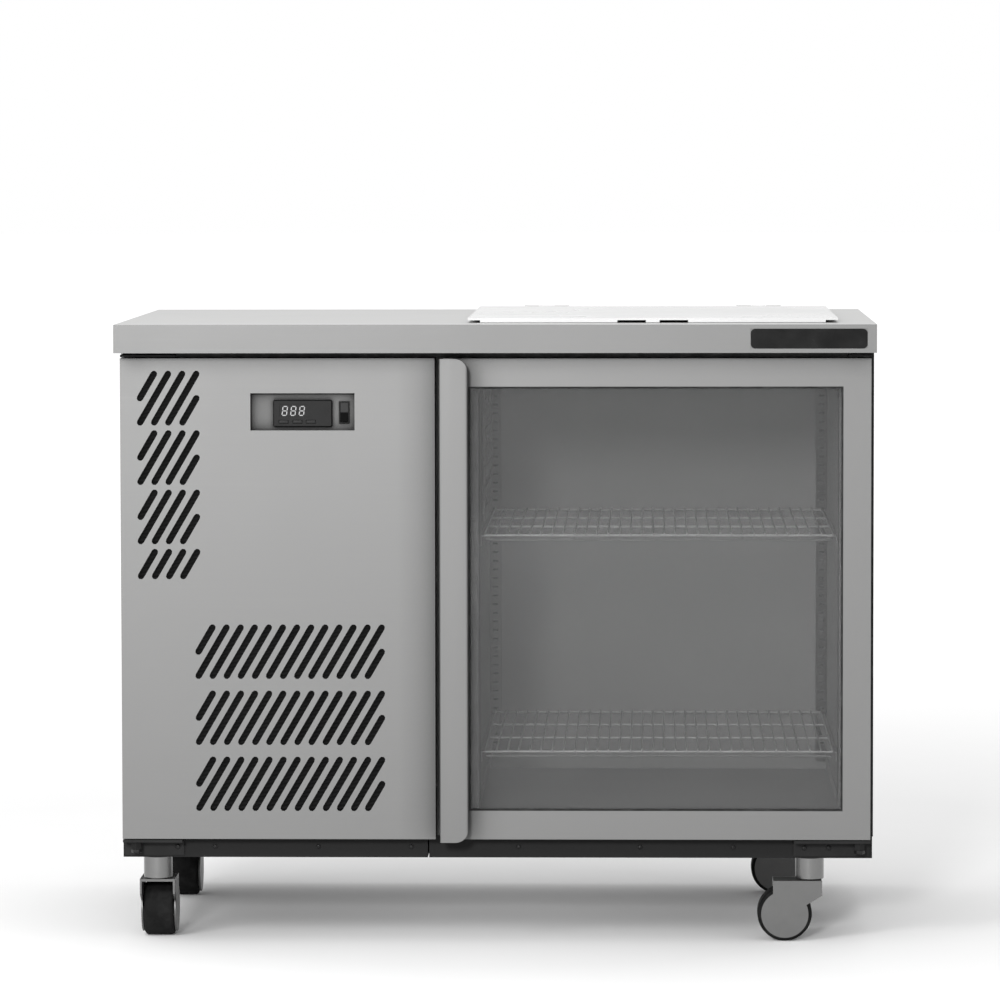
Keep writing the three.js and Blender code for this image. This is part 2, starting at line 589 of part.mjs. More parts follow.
function buildControls() {
  const c = CONTROLLER;
  const body = { x0: c.x0 + c.bodyInset, x1: c.x1 - c.bodyInset, z0: c.z0 + 4, z1: c.z1 - 4 };
  const plateY = [CONTROL_Y, CONTROL_Y + SHEET];
  const strapY = [-240, -240 + SHEET];
  const plate = widened(CONTROL_OPENING, 12);
  const s = SWITCH;
  const cutouts = [
    widened(body, 0.5),
    widened({ x0: s.x, x1: s.x, z0: s.z, z1: s.z }, s.halfWidth),
  ];
  cutouts[1].z0 = s.z - s.halfHeight;
  cutouts[1].z1 = s.z + s.halfHeight;
  const plateShape = rectangle(plate.x0, plate.x1, plate.z0, plate.z1);
  for (const { x0, x1, z0, z1 } of cutouts) plateShape.holes.push(rectangle(x0, x1, z0, z1));
  // The plate's side returns reach back to a strap, which is fixed to the side of the insulated cabinet.
  const strapZ = [plate.z1 - 16, plate.z1];
  const right = CABINET.x0 - GAP;
  const bracketSolid = join(
    prismY(plateShape, ...plateY),
    box(plate.x0, plate.x0 + SHEET, plateY[0], strapY[1], plate.z0, plate.z1),
    box(plate.x1 - SHEET, plate.x1, plateY[0], strapY[1], plate.z0, plate.z1),
    box(plate.x0, right, ...strapY, ...strapZ),
    box(right - SHEET, right, strapY[0], strapY[1] + 45, ...strapZ),
  );
  place("control_bracket", bracketSolid, galvanised);

  const frontY = CONTROL_Y - GAP - c.proud;
  const bezel = prismY(rectangle(c.x0, c.x1, c.z0, c.z1, 2), frontY, CONTROL_Y - GAP);
  const block = box(body.x0, body.x1, CONTROL_Y - 1, -246, body.z0, body.z1);
  const display = box(-304, -262, frontY - 1, frontY + 1, 734.5, 754);
  let housing = join(bezel, block).subtract(display);
  BUTTONS.forEach((x, i) => {
    const w = BUTTON.width / 2;
    const h = BUTTON.height / 2;
    const outline = { x0: x - w, x1: x + w, z0: BUTTON.z - h, z1: BUTTON.z + h };
    housing = housing.subtract(boxOf({ ...widened(outline, 0.4), y0: frontY - 1, y1: frontY + 5 }));
    const y0 = frontY - BUTTON.proud;
    const keyShape = rectangle(outline.x0, outline.x1, outline.z0, outline.z1, 1);
    const key = prismY(keyShape, y0, y0 + BUTTON.length, 2);
    place("controller_button_" + (i + 1), key, greyPlastic);
  });
  place("controller_housing", housing, blackPlastic);

  // The rocker tilts in the plate's own cut-out.
  const tilt = THREE.MathUtils.degToRad(ROCKER.tilt);
  const half = 13;
  const profile = polygon([
    [-4, -half],
    [4, -half],
    [7, -6],
    [7, 6],
    [4, half],
    [-4, half],
    [-2.4, 0],
  ]);
  const geometry = geometryOf(prismX(profile, s.x - 5.2, s.x + 5.2));
  const rocker = new THREE.Mesh(geometry, blackPlastic);
  rocker.name = "power_rocker";
  rocker.position.set(0, ROCKER.y, s.z);
  rocker.rotation.x = -tilt;
  object.add(rocker);
}
// ---------------------------------------------------------------- refrigeration unit
const FLOOR_Z = BASE.z0 + 3 + GAP; // deck of the unit's base tray
const CONDENSER = { x0: -420, x1: -130, y0: -235, y1: -195, z1: 450 };
const FAN = { x: -275, z: 300, radius: 112 };

function finStack(b, count, axis, fin) {
  const span = b[axis + "1"] - b[axis + "0"];
  const fins = [];
  for (let i = 0; i < count; i++) {
    const start = b[axis + "0"] + ((span - fin) * i) / (count - 1);
    fins.push(boxOf({ ...b, [axis + "0"]: start, [axis + "1"]: start + fin }));
  }
  return join(...fins);
}

function buildCondenser() {
  const block = { ...CONDENSER, z0: FLOOR_Z };
  const fins = finStack({ ...block, x0: block.x0 + 8, x1: block.x1 - 8 }, 9, "x", 3);
  let coil = fins;
  for (let i = 0; i < 3; i++) {
    const z = block.z0 + 60 + i * 100;
    coil = coil.add(box(block.x0, block.x1, -220, -210, z, z + 10));
  }
  coil = join(
    coil,
    box(block.x0, block.x0 + 3, block.y0, block.y1, block.z0, block.z1),
    box(block.x1 - 3, block.x1, block.y0, block.y1, block.z0, block.z1),
  );
  place("condenser_coil", coil, aluminium);

  const shroudY = [CONDENSER.y1 + GAP, -150];
  const shroudShape = rectangle(CONDENSER.x0, CONDENSER.x1, FLOOR_Z, CONDENSER.z1);
  const mouth = new THREE.Path().absarc(FAN.x, FAN.z, FAN.radius + 6, 0, 2 * Math.PI);
  shroudShape.holes.push(mouth);
  const shell = box(CONDENSER.x0, CONDENSER.x1, shroudY[0], shroudY[1] - 1, FLOOR_Z, CONDENSER.z1).subtract(
    box(CONDENSER.x0 + 2, CONDENSER.x1 - 2, shroudY[0] - 1, shroudY[1], FLOOR_Z + 2, CONDENSER.z1 - 2),
  );
  const face = prismY(shroudShape, shroudY[1] - 2, shroudY[1], 8);
  // Two straps behind the mouth hold the motor.
  const reach = 135;
  const strap = (x) => box(x, x + 12, shroudY[1] - 1, -98, FAN.z - 5, FAN.z + 5);
  const straps = join(
    strap(FAN.x - reach),
    strap(FAN.x + reach - 12),
    box(FAN.x - reach, FAN.x + reach, -101, -98, FAN.z - 8, FAN.z + 8),
  );
  place("condenser_fan_shroud", join(shell, face, straps), blackPaint);
  const motor = cylinder("y", [FAN.x, FAN.z], 38, -97.5, -45, 20);
  const cap = cylinder("y", [FAN.x, FAN.z], 20, -60, -38, 12);
  place("condenser_fan_motor", join(motor, cap), blackPaint);
  place("condenser_fan", fan("y", [FAN.x, FAN.z], FAN.radius, [-145, -118], 5), greyPlastic);
}

// A bladed fan on a round hub. The blades are flat and pitched, and join in the hub.
function fan(axis, centre, radius, [from, to], blades) {
  const middle = (from + to) / 2;
  let made = cylinder("y", [0, 0], radius * 0.3, from - middle, to - middle, 16);
  for (let i = 0; i < blades; i++) {
    const blade = new THREE.BoxGeometry(radius * 0.75, 2.5, radius * 0.62);
    blade.rotateX(THREE.MathUtils.degToRad(20));
    blade.translate(radius * 0.6, 0, 0);
    blade.rotateY((2 * Math.PI * i) / blades);
    made = made.add(solidOf(blade));
  }
  const rim = cylinder("y", [0, 0], radius, from - middle - 20, to - middle + 20, 20);
  const geometry = geometryOf(made.intersect(rim));
  if (axis === "x") geometry.rotateZ(Math.PI / 2);
  const [a, b] = centre;
  geometry.translate(...(axis === "x" ? [middle, a, b] : [a, middle, b]));
  return solidOf(geometry);
}

function buildCompressor() {
  const x = -330;
  const y = 110;
  const base = FLOOR_Z + 22;
  const can = lathe(
    [
      [0, base],
      [70, base],
      [86, base + 16],
      [88, base + 70],
      [92, base + 78],
      [88, base + 86],
      [84, base + 140],
      [62, base + 172],
      [0, base + 182],
    ],
    x,
    y,
    18,
  );
  let compressor = join(can, box(x - 110, x + 110, y - 75, y + 75, base - 6, base + 2));
  for (const [dx, dy] of [[-95, -60], [95, -60], [-95, 60], [95, 60]]) {
    compressor = compressor.add(cylinder("z", [x + dx, y + dy], 12, FLOOR_Z, base - 4, 12));
  }
  const terminalBox = box(x + 60, x + 118, y - 30, y + 30, base + 40, base + 110);
  place("compressor", join(compressor, terminalBox), blackPaint);

  // The filter drier is the wide part of a liquid line that runs from front to back beside the cabinet.
  const drier = cylinder("y", [-114, 134], 12, -60, 70, 12);
  const line = cylinder("y", [-114, 134], 4, -180, 200, 8);
  place("filter_drier", join(drier, line), copper);
}

function buildEvaporator() {
  const wall = 14;
  const outer = { ...grown({ x0: 0, x1: 0, ...DUCT }, wall), x0: -234, x1: CABINET.x0 - GAP };
  const inner = { x0: outer.x0 + wall, x1: outer.x1 + 1, ...DUCT };
  const shelf = box(outer.x0 + 5, outer.x1 - 30, DUCT.y0 - 1, DUCT.y1 + 1, DUCT.z0 - 4, DUCT.z0 + 4);
  place("evaporator_housing", join(boxOf(outer).subtract(boxOf(inner)), shelf), greyPlastic);

  const coilBox = {
    x0: -212,
    x1: -150,
    y0: DUCT.y0 + 4,
    y1: DUCT.y1 - 4,
    z0: DUCT.z0 + 4 + GAP,
    z1: DUCT.z1 - 6,
  };
  let coil = finStack({ ...coilBox, y0: coilBox.y0 + 8, y1: coilBox.y1 - 8 }, 8, "y", 3);
  for (let i = 0; i < 2; i++) {
    const x = i % 2 ? -170 : -195;
    const z = coilBox.z0 + 50 + i * 60;
    coil = coil.add(box(x - 5, x + 5, coilBox.y0, coilBox.y1, z - 5, z + 5));
  }
  place("evaporator_coil", coil, aluminium);

  const axisY = 0;
  const axisZ = (DUCT.z0 + DUCT.z1) / 2;
  const strut = box(-118, -112, DUCT.y0 + GAP, DUCT.y1 - GAP, axisZ - 8, axisZ + 8);
  const motor = cylinder("x", [axisY, axisZ], 24, -138, -96, 16);
  place("evaporator_fan_motor", join(strut, motor), blackPaint);
  place("evaporator_fan", fan("x", [axisY, axisZ], 78, [-88, -62], 5), greyPlastic);

  const x = CAVITY.x0 + 2.8;
  const slots = [];
  for (let row = 0; row < 6; row++) {
    const z = DUCT.z0 + 10 + row * 28;
    slots.push(box(x - 1, x + 3, DUCT.y0 + 8, 62, z, z + 14));
    slots.push(box(x - 1, x + 3, 78, DUCT.y1 - 8, z, z + 14));
  }
  const grille = box(x, x + 2, DUCT.y0 - 16, DUCT.y1 + 16, DUCT.z0 - 6, DUCT.z1 + 8);
  place("evaporator_grille", grille.subtract(join(...slots)), steel);
}

// ---------------------------------------------------------------- castors
function buildCastors() {
  const c = CASTOR;
  const half = 24.5;
  const cheekThickness = 2.5;
  const tyreHalf = 21;
  for (const { name, x, y, turn } of CASTORS) {
    const stem = lathe(
      [
        [0, c.forkTop + 1],
        [c.stemRadius - 2, c.forkTop + 1],
        [c.stemRadius, c.forkTop + 3],
        [c.stemRadius, c.stemTop],
        [0, c.stemTop],
      ],
      x,
      y,
    );
    place(name + "_stem", stem, chrome);

    // Drawn with the stem over the origin and the wheel trailing along +X, then turned about the stem.
    const turned = new THREE.Group();
    turned.position.set(x, y, 0);
    turned.rotation.z = THREE.MathUtils.degToRad(turn);
    const add = (suffix, solid, look) => {
      const mesh = new THREE.Mesh(geometryOf(solid), look);
      mesh.name = name + suffix;
      turned.add(mesh);
    };
    const r = c.wheelRadius;
    const coverRadius = 33;
    const cheek = polygon([
      [c.trail + 16.5, c.forkTop],
      [c.trail - 52, c.forkTop],
      [c.trail - 52, r + 26],
      [c.trail - 30.1, r + 13.3],
      [c.trail, r],
      [c.trail + 16.5, r + 28],
    ]);
    const cheekAt = (from) =>
      join(
        prismY(cheek, from, from + cheekThickness),
        cylinder("y", [c.trail, r], coverRadius, from, from + cheekThickness, 24),
      );
    const top = box(c.trail - 52, c.trail + 16.5, -half, half, c.forkTop - 4, c.forkTop);
    const axle = cylinder("y", [c.trail, r], 4, -half, half, 12);
    add("_fork", join(cheekAt(-half), cheekAt(half - cheekThickness), top, axle), greyPlastic);

    const tyre = new THREE.LatheGeometry(
      [
        [4.5, -tyreHalf],
        [r - 5, -tyreHalf],
        [r, -tyreHalf + 6],
        [r, tyreHalf - 6],
        [r - 5, tyreHalf],
        [4.5, tyreHalf],
        [4.5, -tyreHalf],
      ].map(([radius, along]) => new THREE.Vector2(radius, along)),
      24,
    );
    tyre.translate(c.trail, 0, r);
    add("_wheel", solidOf(tyre), rubber);
    object.add(turned);
  }
}

buildWorktop();
buildWellFrame();
buildPans();
buildLid();
buildCabinet();
buildBase();
buildUnitCasing();
buildRacking();
buildShelves();
buildDoor();
buildHandle();
buildHinges();
buildServicePanel();
buildControls();
buildCondenser();
buildCompressor();
buildEvaporator();
buildCastors();

export default object;
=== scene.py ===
# Under counter refrigerator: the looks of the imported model, built round its nodes and bodies. It is drawn
# in millimetres in the shared frame (+X right, +Y back, +Z up, origin on the floor) and scaled to metres
# when each mesh is made.
import math
import random

import bmesh
import bpy
from mathutils import Matrix, Vector


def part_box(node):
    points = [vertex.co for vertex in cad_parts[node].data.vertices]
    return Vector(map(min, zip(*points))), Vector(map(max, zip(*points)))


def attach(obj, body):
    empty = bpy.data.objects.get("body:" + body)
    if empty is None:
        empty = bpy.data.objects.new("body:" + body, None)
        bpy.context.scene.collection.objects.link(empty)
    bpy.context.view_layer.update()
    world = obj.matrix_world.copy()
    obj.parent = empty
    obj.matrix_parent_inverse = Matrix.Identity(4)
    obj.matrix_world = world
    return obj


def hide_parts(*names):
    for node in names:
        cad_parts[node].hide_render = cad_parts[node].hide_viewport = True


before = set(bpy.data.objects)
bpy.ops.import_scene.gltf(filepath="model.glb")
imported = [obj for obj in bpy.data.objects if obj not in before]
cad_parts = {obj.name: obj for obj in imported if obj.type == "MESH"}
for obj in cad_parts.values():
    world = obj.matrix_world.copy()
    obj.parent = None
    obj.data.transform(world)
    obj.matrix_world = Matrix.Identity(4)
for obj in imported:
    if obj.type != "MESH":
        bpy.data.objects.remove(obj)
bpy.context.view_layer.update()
MM = 0.001
scene = bpy.context.scene
rng = random.Random(7)


class Box:
    """A CAD node's box at rest, in millimetres."""

    def __init__(self, node):
        lo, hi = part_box(node)
        self.x0, self.y0, self.z0 = (v / MM for v in lo)
        self.x1, self.y1, self.z1 = (v / MM for v in hi)
        self.x = (self.x0 + self.x1) / 2
        self.y = (self.y0 + self.y1) / 2
        self.z = (self.z0 + self.z1) / 2


# ---------------------------------------------------------------- materials
def socket(node, name, value):
    """Sets an input of a node: another node's output, or a constant."""
    target = node.inputs[name]
    if isinstance(value, bpy.types.NodeSocket):
        node.id_data.links.new(value, target)
    else:
        target.default_value = value


def add_node(tree, kind, props=None, **inputs):
    node = tree.nodes.new("ShaderNode" + kind)
    for key, value in (props or {}).items():
        setattr(node, key, value)
    for key, value in inputs.items():
        socket(node, key.replace("_", " "), value)
    return node


def grey(value, tint=(1.0, 1.0, 1.0)):
    return tuple(value * t for t in tint) + (1.0,)


class Look:
    """A principled material with helpers for the noise that its colour, roughness and bump come from."""

    def __init__(self, name, **constants):
        self.material = bpy.data.materials.new(name)
        self.material.use_nodes = True
        self.tree = self.material.node_tree
        self.shader = self.tree.nodes["Principled BSDF"]
        self.coords = add_node(self.tree, "TexCoord").outputs["Object"]
        for key, value in constants.items():
            socket(self.shader, key.replace("_", " "), value)

    def noise(self, scale, stretch=(1, 1, 1), detail=3.0, roughness=0.55, distortion=0.0):
        mapping = add_node(self.tree, "Mapping", Vector=self.coords, Scale=tuple(stretch))
        made = add_node(
            self.tree,
            "TexNoise",
            Vector=mapping.outputs["Vector"],
            Scale=scale,
            Detail=detail,
            Roughness=roughness,
            Distortion=distortion,
        )
        return made.outputs["Fac"]

    def voronoi(self, scale):
        return add_node(self.tree, "TexVoronoi", Vector=self.coords, Scale=scale).outputs["Distance"]

    def ranged(self, value, to_min, to_max, from_min=0.3, from_max=0.7):
        ranges = {"From_Min": from_min, "From_Max": from_max, "To_Min": to_min, "To_Max": to_max}
        return add_node(self.tree, "MapRange", Value=value, **ranges).outputs["Result"]

    def math(self, operation, a, b):
        made = add_node(self.tree, "Math", {"operation": operation})
        for i, value in enumerate((a, b)):
            if isinstance(value, bpy.types.NodeSocket):
                self.tree.links.new(value, made.inputs[i])
            else:
                made.inputs[i].default_value = value
        return made.outputs["Value"]

    def mix(self, a, share_a, b, share_b):
        return self.math("ADD", self.math("MULTIPLY", a, share_a), self.math("MULTIPLY", b, share_b))

    def ramp(self, value, stops):
        made = add_node(self.tree, "ValToRGB", Fac=value)
        elements = made.color_ramp.elements
        while len(elements) < len(stops):
            elements.new(0.5)
        for element, (position, color) in zip(elements, stops):
            element.position = position
            element.color = color
        return made.outputs["Color"]

    def colour(self, value):
        socket(self.shader, "Base Color", value)

    def with_painted_shade(self, value, reach, depth):
        """The colour with painted shade: darker by depth where another surface stands within reach."""
        near = add_node(self.tree, "AmbientOcclusion", {"samples": 8}, Distance=reach).outputs["AO"]
        shade = self.ranged(near, 1.0 - depth, 1.0, 0.35, 1.0)
        made = add_node(self.tree, "VectorMath", {"operation": "SCALE"}, Vector=value, Scale=shade)
        return made.outputs["Vector"]

    def roughness(self, value):
        socket(self.shader, "Roughness", value)

    def bump(self, value, distance):
        made = add_node(self.tree, "Bump", Height=value, Distance=distance, Strength=1.0)
        socket(self.shader, "Normal", made.outputs["Normal"])


STEEL_TINT = (1.0, 1.0, 0.992)


def sheet_steel(
    name, tone, grain, metallic=0.4, rough=(0.38, 0.48), contrast=0.03, bumpy=0.00002, painted_shade=None
):
    """Brushed sheet: streaks along the grain, a fine speckle and faint large smudges, and painted shade near
    other surfaces where painted_shade is given.
    """
    look = Look(name, Metallic=metallic)
    streak = look.noise(1.0, grain, detail=4.0, roughness=0.7)
    speckle = look.noise(900.0, detail=2.0)
    smudge = look.noise(5.0, detail=4.0, roughness=0.6)
    fine = look.mix(streak, 0.6, speckle, 0.4)
    mixed = look.mix(fine, 0.72, smudge, 0.28)
    lo, hi = tone * (1 - contrast), tone * (1 + contrast)
    colour = look.ramp(mixed, [(0.36, grey(lo, STEEL_TINT)), (0.64, grey(hi, STEEL_TINT))])
    # Painted shade: an ambient occlusion term darkens the colour where other surfaces stand near.
    look.colour(look.with_painted_shade(colour, *painted_shade) if painted_shade else colour)
    scratch = look.ranged(look.noise(1.0, tuple(g * 0.35 for g in grain), detail=2.0), 0.0, 0.09, 0.63, 0.75)
    base = look.ranged(look.mix(smudge, 0.6, streak, 0.4), *rough)
    look.roughness(look.math("SUBTRACT", base, scratch))
    look.bump(fine, bumpy)
    return look.material


ALONG_X = (4, 800, 800)
ALONG_Z = (800, 800, 4)

# steel_front and steel_control get painted shade where other parts stand near, such as beside the handle and
# round the control recess.
steel_front = sheet_steel("steel_front", 0.131, ALONG_X, painted_shade=(0.06, 0.95))
steel_edge = sheet_steel("steel_edge", 0.121, ALONG_X)
# Painted light: the same steel as the fronts, painted lighter for the light falling on upward faces.
steel_top_painted_light = sheet_steel("steel_top_painted_light", 0.42, ALONG_X, rough=(0.36, 0.44))
steel_upright = sheet_steel("steel_upright", 0.121, ALONG_Z)
steel_side = sheet_steel("steel_side", 0.19, ALONG_Z, contrast=0.07, bumpy=0.00004)
steel_inside = sheet_steel(
    "steel_inside", 0.145, ALONG_X, metallic=0.1, rough=(0.62, 0.72), contrast=0.02, bumpy=0.000008
)
steel_control = sheet_steel(
    "steel_control", 0.095, ALONG_X, metallic=0.7, rough=(0.4, 0.5), painted_shade=(0.06, 1.0)
)
steel_pan = sheet_steel("steel_pan", 0.5, (120, 120, 120), metallic=0.9, rough=(0.2, 0.3), contrast=0.03)
steel_castor = sheet_steel("steel_castor", 0.1, (60, 60, 60), metallic=0.5, rough=(0.38, 0.5), contrast=0.06)
steel_post = sheet_steel("steel_post", 0.2, ALONG_Z, metallic=0.95, rough=(0.16, 0.24), contrast=0.03)


def wire_chrome(name, tone):
    look = Look(name, Metallic=0.7)
    patches = look.noise(60.0, detail=3.0)
    look.colour(look.ramp(patches, [(0.35, grey(tone * 0.9)), (0.65, grey(tone * 1.1))]))
    look.roughness(look.ranged(look.noise(300.0), 0.3, 0.4))
    look.bump(look.noise(1400.0), 0.00001)
    return look.material


def galvanised_sheet():
    """Zinc spangle: large crystals of slightly different greys."""
    look = Look("galvanised_sheet", Metallic=0.75)
    crystals = look.voronoi(90.0)
    cloud = look.noise(14.0, detail=5.0)
    mixed = look.mix(crystals, 0.55, cloud, 0.6)
    zinc = (0.97, 0.99, 1.0)
    look.colour(look.ramp(mixed, [(0.3, grey(0.33, zinc)), (0.7, grey(0.43, zinc))]))
    look.roughness(look.ranged(mixed, 0.38, 0.55))
    look.bump(crystals, 0.00006)
    return look.material


def painted(name, tone, rough=(0.4, 0.55), metallic=0.0, peel=0.00012, speck=0.25, shine=0.15):
    """Powder coat: orange peel in the bump, dust that lightens it in patches."""
    look = Look(name, Metallic=metallic, Specular_IOR_Level=shine)
    dust = look.noise(22.0, detail=5.0, roughness=0.65)
    look.colour(look.ramp(dust, [(0.35, grey(tone * (1 - speck))), (0.7, grey(tone * (1 + speck)))]))
    look.roughness(look.ranged(dust, *rough))
    look.bump(look.noise(700.0, detail=2.0), peel)
    return look.material


def plastic(name, tone, rough=(0.35, 0.5), grain=1400.0, depth=0.00005, speck=0.12, shine=0.12):
    """Moulded plastic: a fine spark-eroded grain and slight shine where it is handled."""
    look = Look(name, Specular_IOR_Level=shine)
    handled = look.noise(30.0, detail=3.0)
    look.colour(look.ramp(handled, [(0.35, grey(tone * (1 - speck))), (0.65, grey(tone * (1 + speck)))]))
    look.roughness(look.ranged(handled, *rough))
    look.bump(look.noise(grain, detail=2.0), depth)
    return look.material


def rubber_look(name, tone):
    """Rubber with scuffs that turn it grey."""
    look = Look(name, Specular_IOR_Level=0.05)
    scuff = look.noise(55.0, detail=6.0, roughness=0.7, distortion=0.3)
    look.colour(look.ramp(scuff, [(0.42, grey(tone)), (0.62, grey(tone * 1.9)), (0.8, grey(tone * 3.0))]))
    look.roughness(look.ranged(scuff, 0.55, 0.8))
    look.bump(look.noise(500.0, detail=4.0), 0.00015)
    return look.material


def fin_stock():
    look = Look("fin_stock", Metallic=0.9)
    oxide = look.noise(40.0, detail=4.0)
    look.colour(look.ramp(oxide, [(0.35, grey(0.46)), (0.65, grey(0.58))]))
    look.roughness(look.ranged(oxide, 0.3, 0.45))
    look.bump(look.noise(1.0, (30, 30, 900)), 0.00004)
    return look.material


def copper_look():
    look = Look("copper_tube", Metallic=1.0)
    tarnish = look.noise(35.0, detail=5.0)
    look.colour(look.ramp(tarnish, [(0.35, (0.36, 0.16, 0.08, 1)), (0.6, (0.62, 0.30, 0.16, 1))]))
    look.roughness(look.ranged(tarnish, 0.42, 0.25))
    look.bump(look.noise(260.0), 0.00005)
    return look.material


def pane(name, alpha, tone, rough):
    """A glass pane: a thin haze of dust over a clear, glossy sheet."""
    look = Look(name, Alpha=alpha, IOR=1.45)
    haze = look.noise(6.0, detail=5.0, roughness=0.6)
    tint = (0.99, 1.0, 1.0)
    look.colour(look.ramp(haze, [(0.35, grey(tone * 0.97, tint)), (0.65, grey(tone * 1.03, tint))]))
    look.roughness(look.ranged(haze, *rough))
    look.material.blend_method = "BLEND"
    return look.material


def lid_sheet():
    look = Look("lid_sheet", Coat_Weight=0.15, Coat_Roughness=0.12)
    haze = look.noise(9.0, detail=5.0)
    look.colour(look.ramp(haze, [(0.35, grey(0.50)), (0.65, grey(0.52))]))
    look.roughness(look.ranged(look.noise(3.0, detail=4.0), 0.22, 0.34))
    look.bump(look.noise(350.0), 0.00001)
    return look.material


def display_digits(color):
    look = Look("digit_glow", Base_Color=color, Emission_Color=color, Emission_Strength=0.03)
    look.roughness(look.ranged(look.noise(300.0), 0.3, 0.45))
    return look.material


chrome_wire = wire_chrome("chrome_wire", 0.34)
dull_wire = wire_chrome("dull_wire", 0.25)
dark_wire = wire_chrome("dark_wire", 0.12)
galvanised = galvanised_sheet()
dark_paint = painted("dark_paint", 0.007, rough=(0.42, 0.6), metallic=0.1, speck=0.3)
bracket_paint = painted("bracket_paint", 0.013, rough=(0.35, 0.5), metallic=0.4, speck=0.2)
enamel = painted("black_enamel", 0.012, rough=(0.22, 0.4), speck=0.35)
black_moulded = plastic("black_moulded", 0.006, rough=(0.3, 0.45))
# Near-black filter media, which also paints the shade behind the vent slots.
filter_shade_black = painted("filter_shade_black", 0.004, rough=(0.85, 0.95), speck=0.4, peel=0.0003)
black_key = plastic("black_key", 0.012, rough=(0.35, 0.5))
rocker_plastic = plastic("rocker_plastic", 0.02, rough=(0.35, 0.5))
# Painted shade for the rocker's lower half, which is tilted in away from the light.
rocker_painted_shade = plastic("rocker_painted_shade", 0.004, rough=(0.6, 0.75), shine=0.02)
plate_plastic = plastic("plate_plastic", 0.005, rough=(0.18, 0.3), depth=0.00002)
# Near-black painted shade for the inside of the slotted channels.
slot_shade_plastic = plastic("slot_shade_plastic", 0.015, rough=(0.5, 0.6))
breaker_plastic = plastic("breaker_plastic", 0.09, rough=(0.5, 0.6))
housing_foam = plastic("housing_foam", 0.42, rough=(0.7, 0.85), grain=500.0, depth=0.0004, speck=0.05)
hub_plastic = plastic("hub_plastic", 0.12, rough=(0.4, 0.55))
tyre_rubber = rubber_look("tyre_rubber", 0.007)
seal_rubber = rubber_look("seal_rubber", 0.02)
fins_aluminium = fin_stock()
copper = copper_look()
glass_outer = pane("glass_outer", 0.14, 0.16, (0.03, 0.07))
glass_inner = pane("glass_inner", 0.07, 0.15, (0.03, 0.07))
white_sheet = lid_sheet()
digit_glow = display_digits(grey(0.27))
screw_dark = painted("screw_dark", 0.02, rough=(0.25, 0.4), metallic=0.6)
screw_zinc = sheet_steel("screw_zinc", 0.45, (200, 200, 200), metallic=0.95, rough=(0.22, 0.34))

RUNNERS = "shelf_runner_upper_left shelf_runner_upper_right shelf_runner_lower_left shelf_runner_lower_right"
CORNERS = ("front_left", "front_right", "rear_left", "rear_right")

FINISHES = {
    "worktop well_frame": steel_top_painted_light,
    "insulated_cabinet evaporator_grille pilaster_left pilaster_right": steel_inside,
    RUNNERS: steel_inside,
    "service_panel door_frame": steel_front,
    "side_panel_left": steel_side,
    "door_handle": steel_upright,
    "pan_half_front pan_half_rear pan_long_right": steel_pan,
    "unit_back_cover": galvanised,
    "control_bracket": steel_control,
    "unit_base_tray cabinet_base": dark_paint,
    "door_hinge_lower door_hinge_upper panel_hinge_lower panel_hinge_upper": bracket_paint,
    "condenser_fan_shroud condenser_fan_motor evaporator_fan_motor compressor": enamel,
    "condenser_coil evaporator_coil": fins_aluminium,
    "evaporator_housing": housing_foam,
    "filter_drier": copper,
    "condenser_fan evaporator_fan controller_housing glazing_spacer": black_moulded,
    "controller_button_1 controller_button_2 controller_button_3": black_key,
    "power_rocker": rocker_plastic,
    "name_plate": plate_plastic,
    "door_gasket": seal_rubber,
    "door_glass_outer": glass_outer,
    "door_glass_inner": glass_inner,
    "lid": white_sheet,
    "shelf_upper shelf_lower": chrome_wire,
}
for corner in CORNERS:
    FINISHES[f"castor_{corner}_stem castor_{corner}_fork"] = steel_castor
    FINISHES[f"castor_{corner}_wheel"] = tyre_rubber

# The width of each node's rounded edges, in millimetres.
BEVELS = {
    "worktop": 1.6,
    "door_frame": 1.2,
    "power_rocker cabinet_base unit_base_tray lid": 0.8,
    "door_hinge_lower panel_hinge_lower": 0.7,
    "side_panel_left name_plate door_hinge_upper panel_hinge_upper": 0.5,
    "control_bracket well_frame unit_back_cover": 0.4,
    RUNNERS: 0.3,
}


EDGE_ANGLE = 35


def bevel(obj, width):
    """Rounds the edges that turn by more than EDGE_ANGLE degrees."""
    modifier = obj.modifiers.new("edge", "BEVEL")
    modifier.width = width * MM
    modifier.segments = 2
    modifier.limit_method = "ANGLE"
    modifier.angle_limit = math.radians(EDGE_ANGLE)
    modifier.use_clamp_overlap = True


for names, look in FINISHES.items():
    for name in names.split():
        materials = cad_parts[name].data.materials
        materials.clear()
        materials.append(look)

for names, width in BEVELS.items():
    for name in names.split():
        bevel(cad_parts[name], width)


def paint_faces(node, look, chosen):
    """Gives some faces of a node a second finish; chosen takes a face's middle (mm) and normal."""
    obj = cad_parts[node]
    obj.data.materials.append(look)
    for polygon in obj.data.polygons:
        middle = obj.matrix_world @ polygon.center / MM
        polygon.material_index = int(chosen(middle, obj.matrix_world.to_3x3() @ polygon.normal))


def on_outer_skin(middle, _):
    skin = Box("insulated_cabinet")
    near = 0.2
    return middle.x > skin.x1 - near or middle.x < skin.x0 + near or middle.y > skin.y1 - near


# The rocker's lower half, tilted in, is given a painted shade.
def on_rocker_lower_half(middle, normal):
    return middle.z < Box("power_rocker").z and normal.y < -0.5


# The worktop's top face is a little more polished and painted much lighter than its sides, a painted light
# for the light falling on it; its sides match the doors. The cabinet's outside is brushed sheet, and the
# rocker's lower half gets a painted shade.
paint_faces("worktop", steel_edge, lambda middle, normal: normal.z < 0.9)
paint_faces("insulated_cabinet", steel_side, on_outer_skin)
paint_faces("power_rocker", rocker_painted_shade, on_rocker_lower_half)


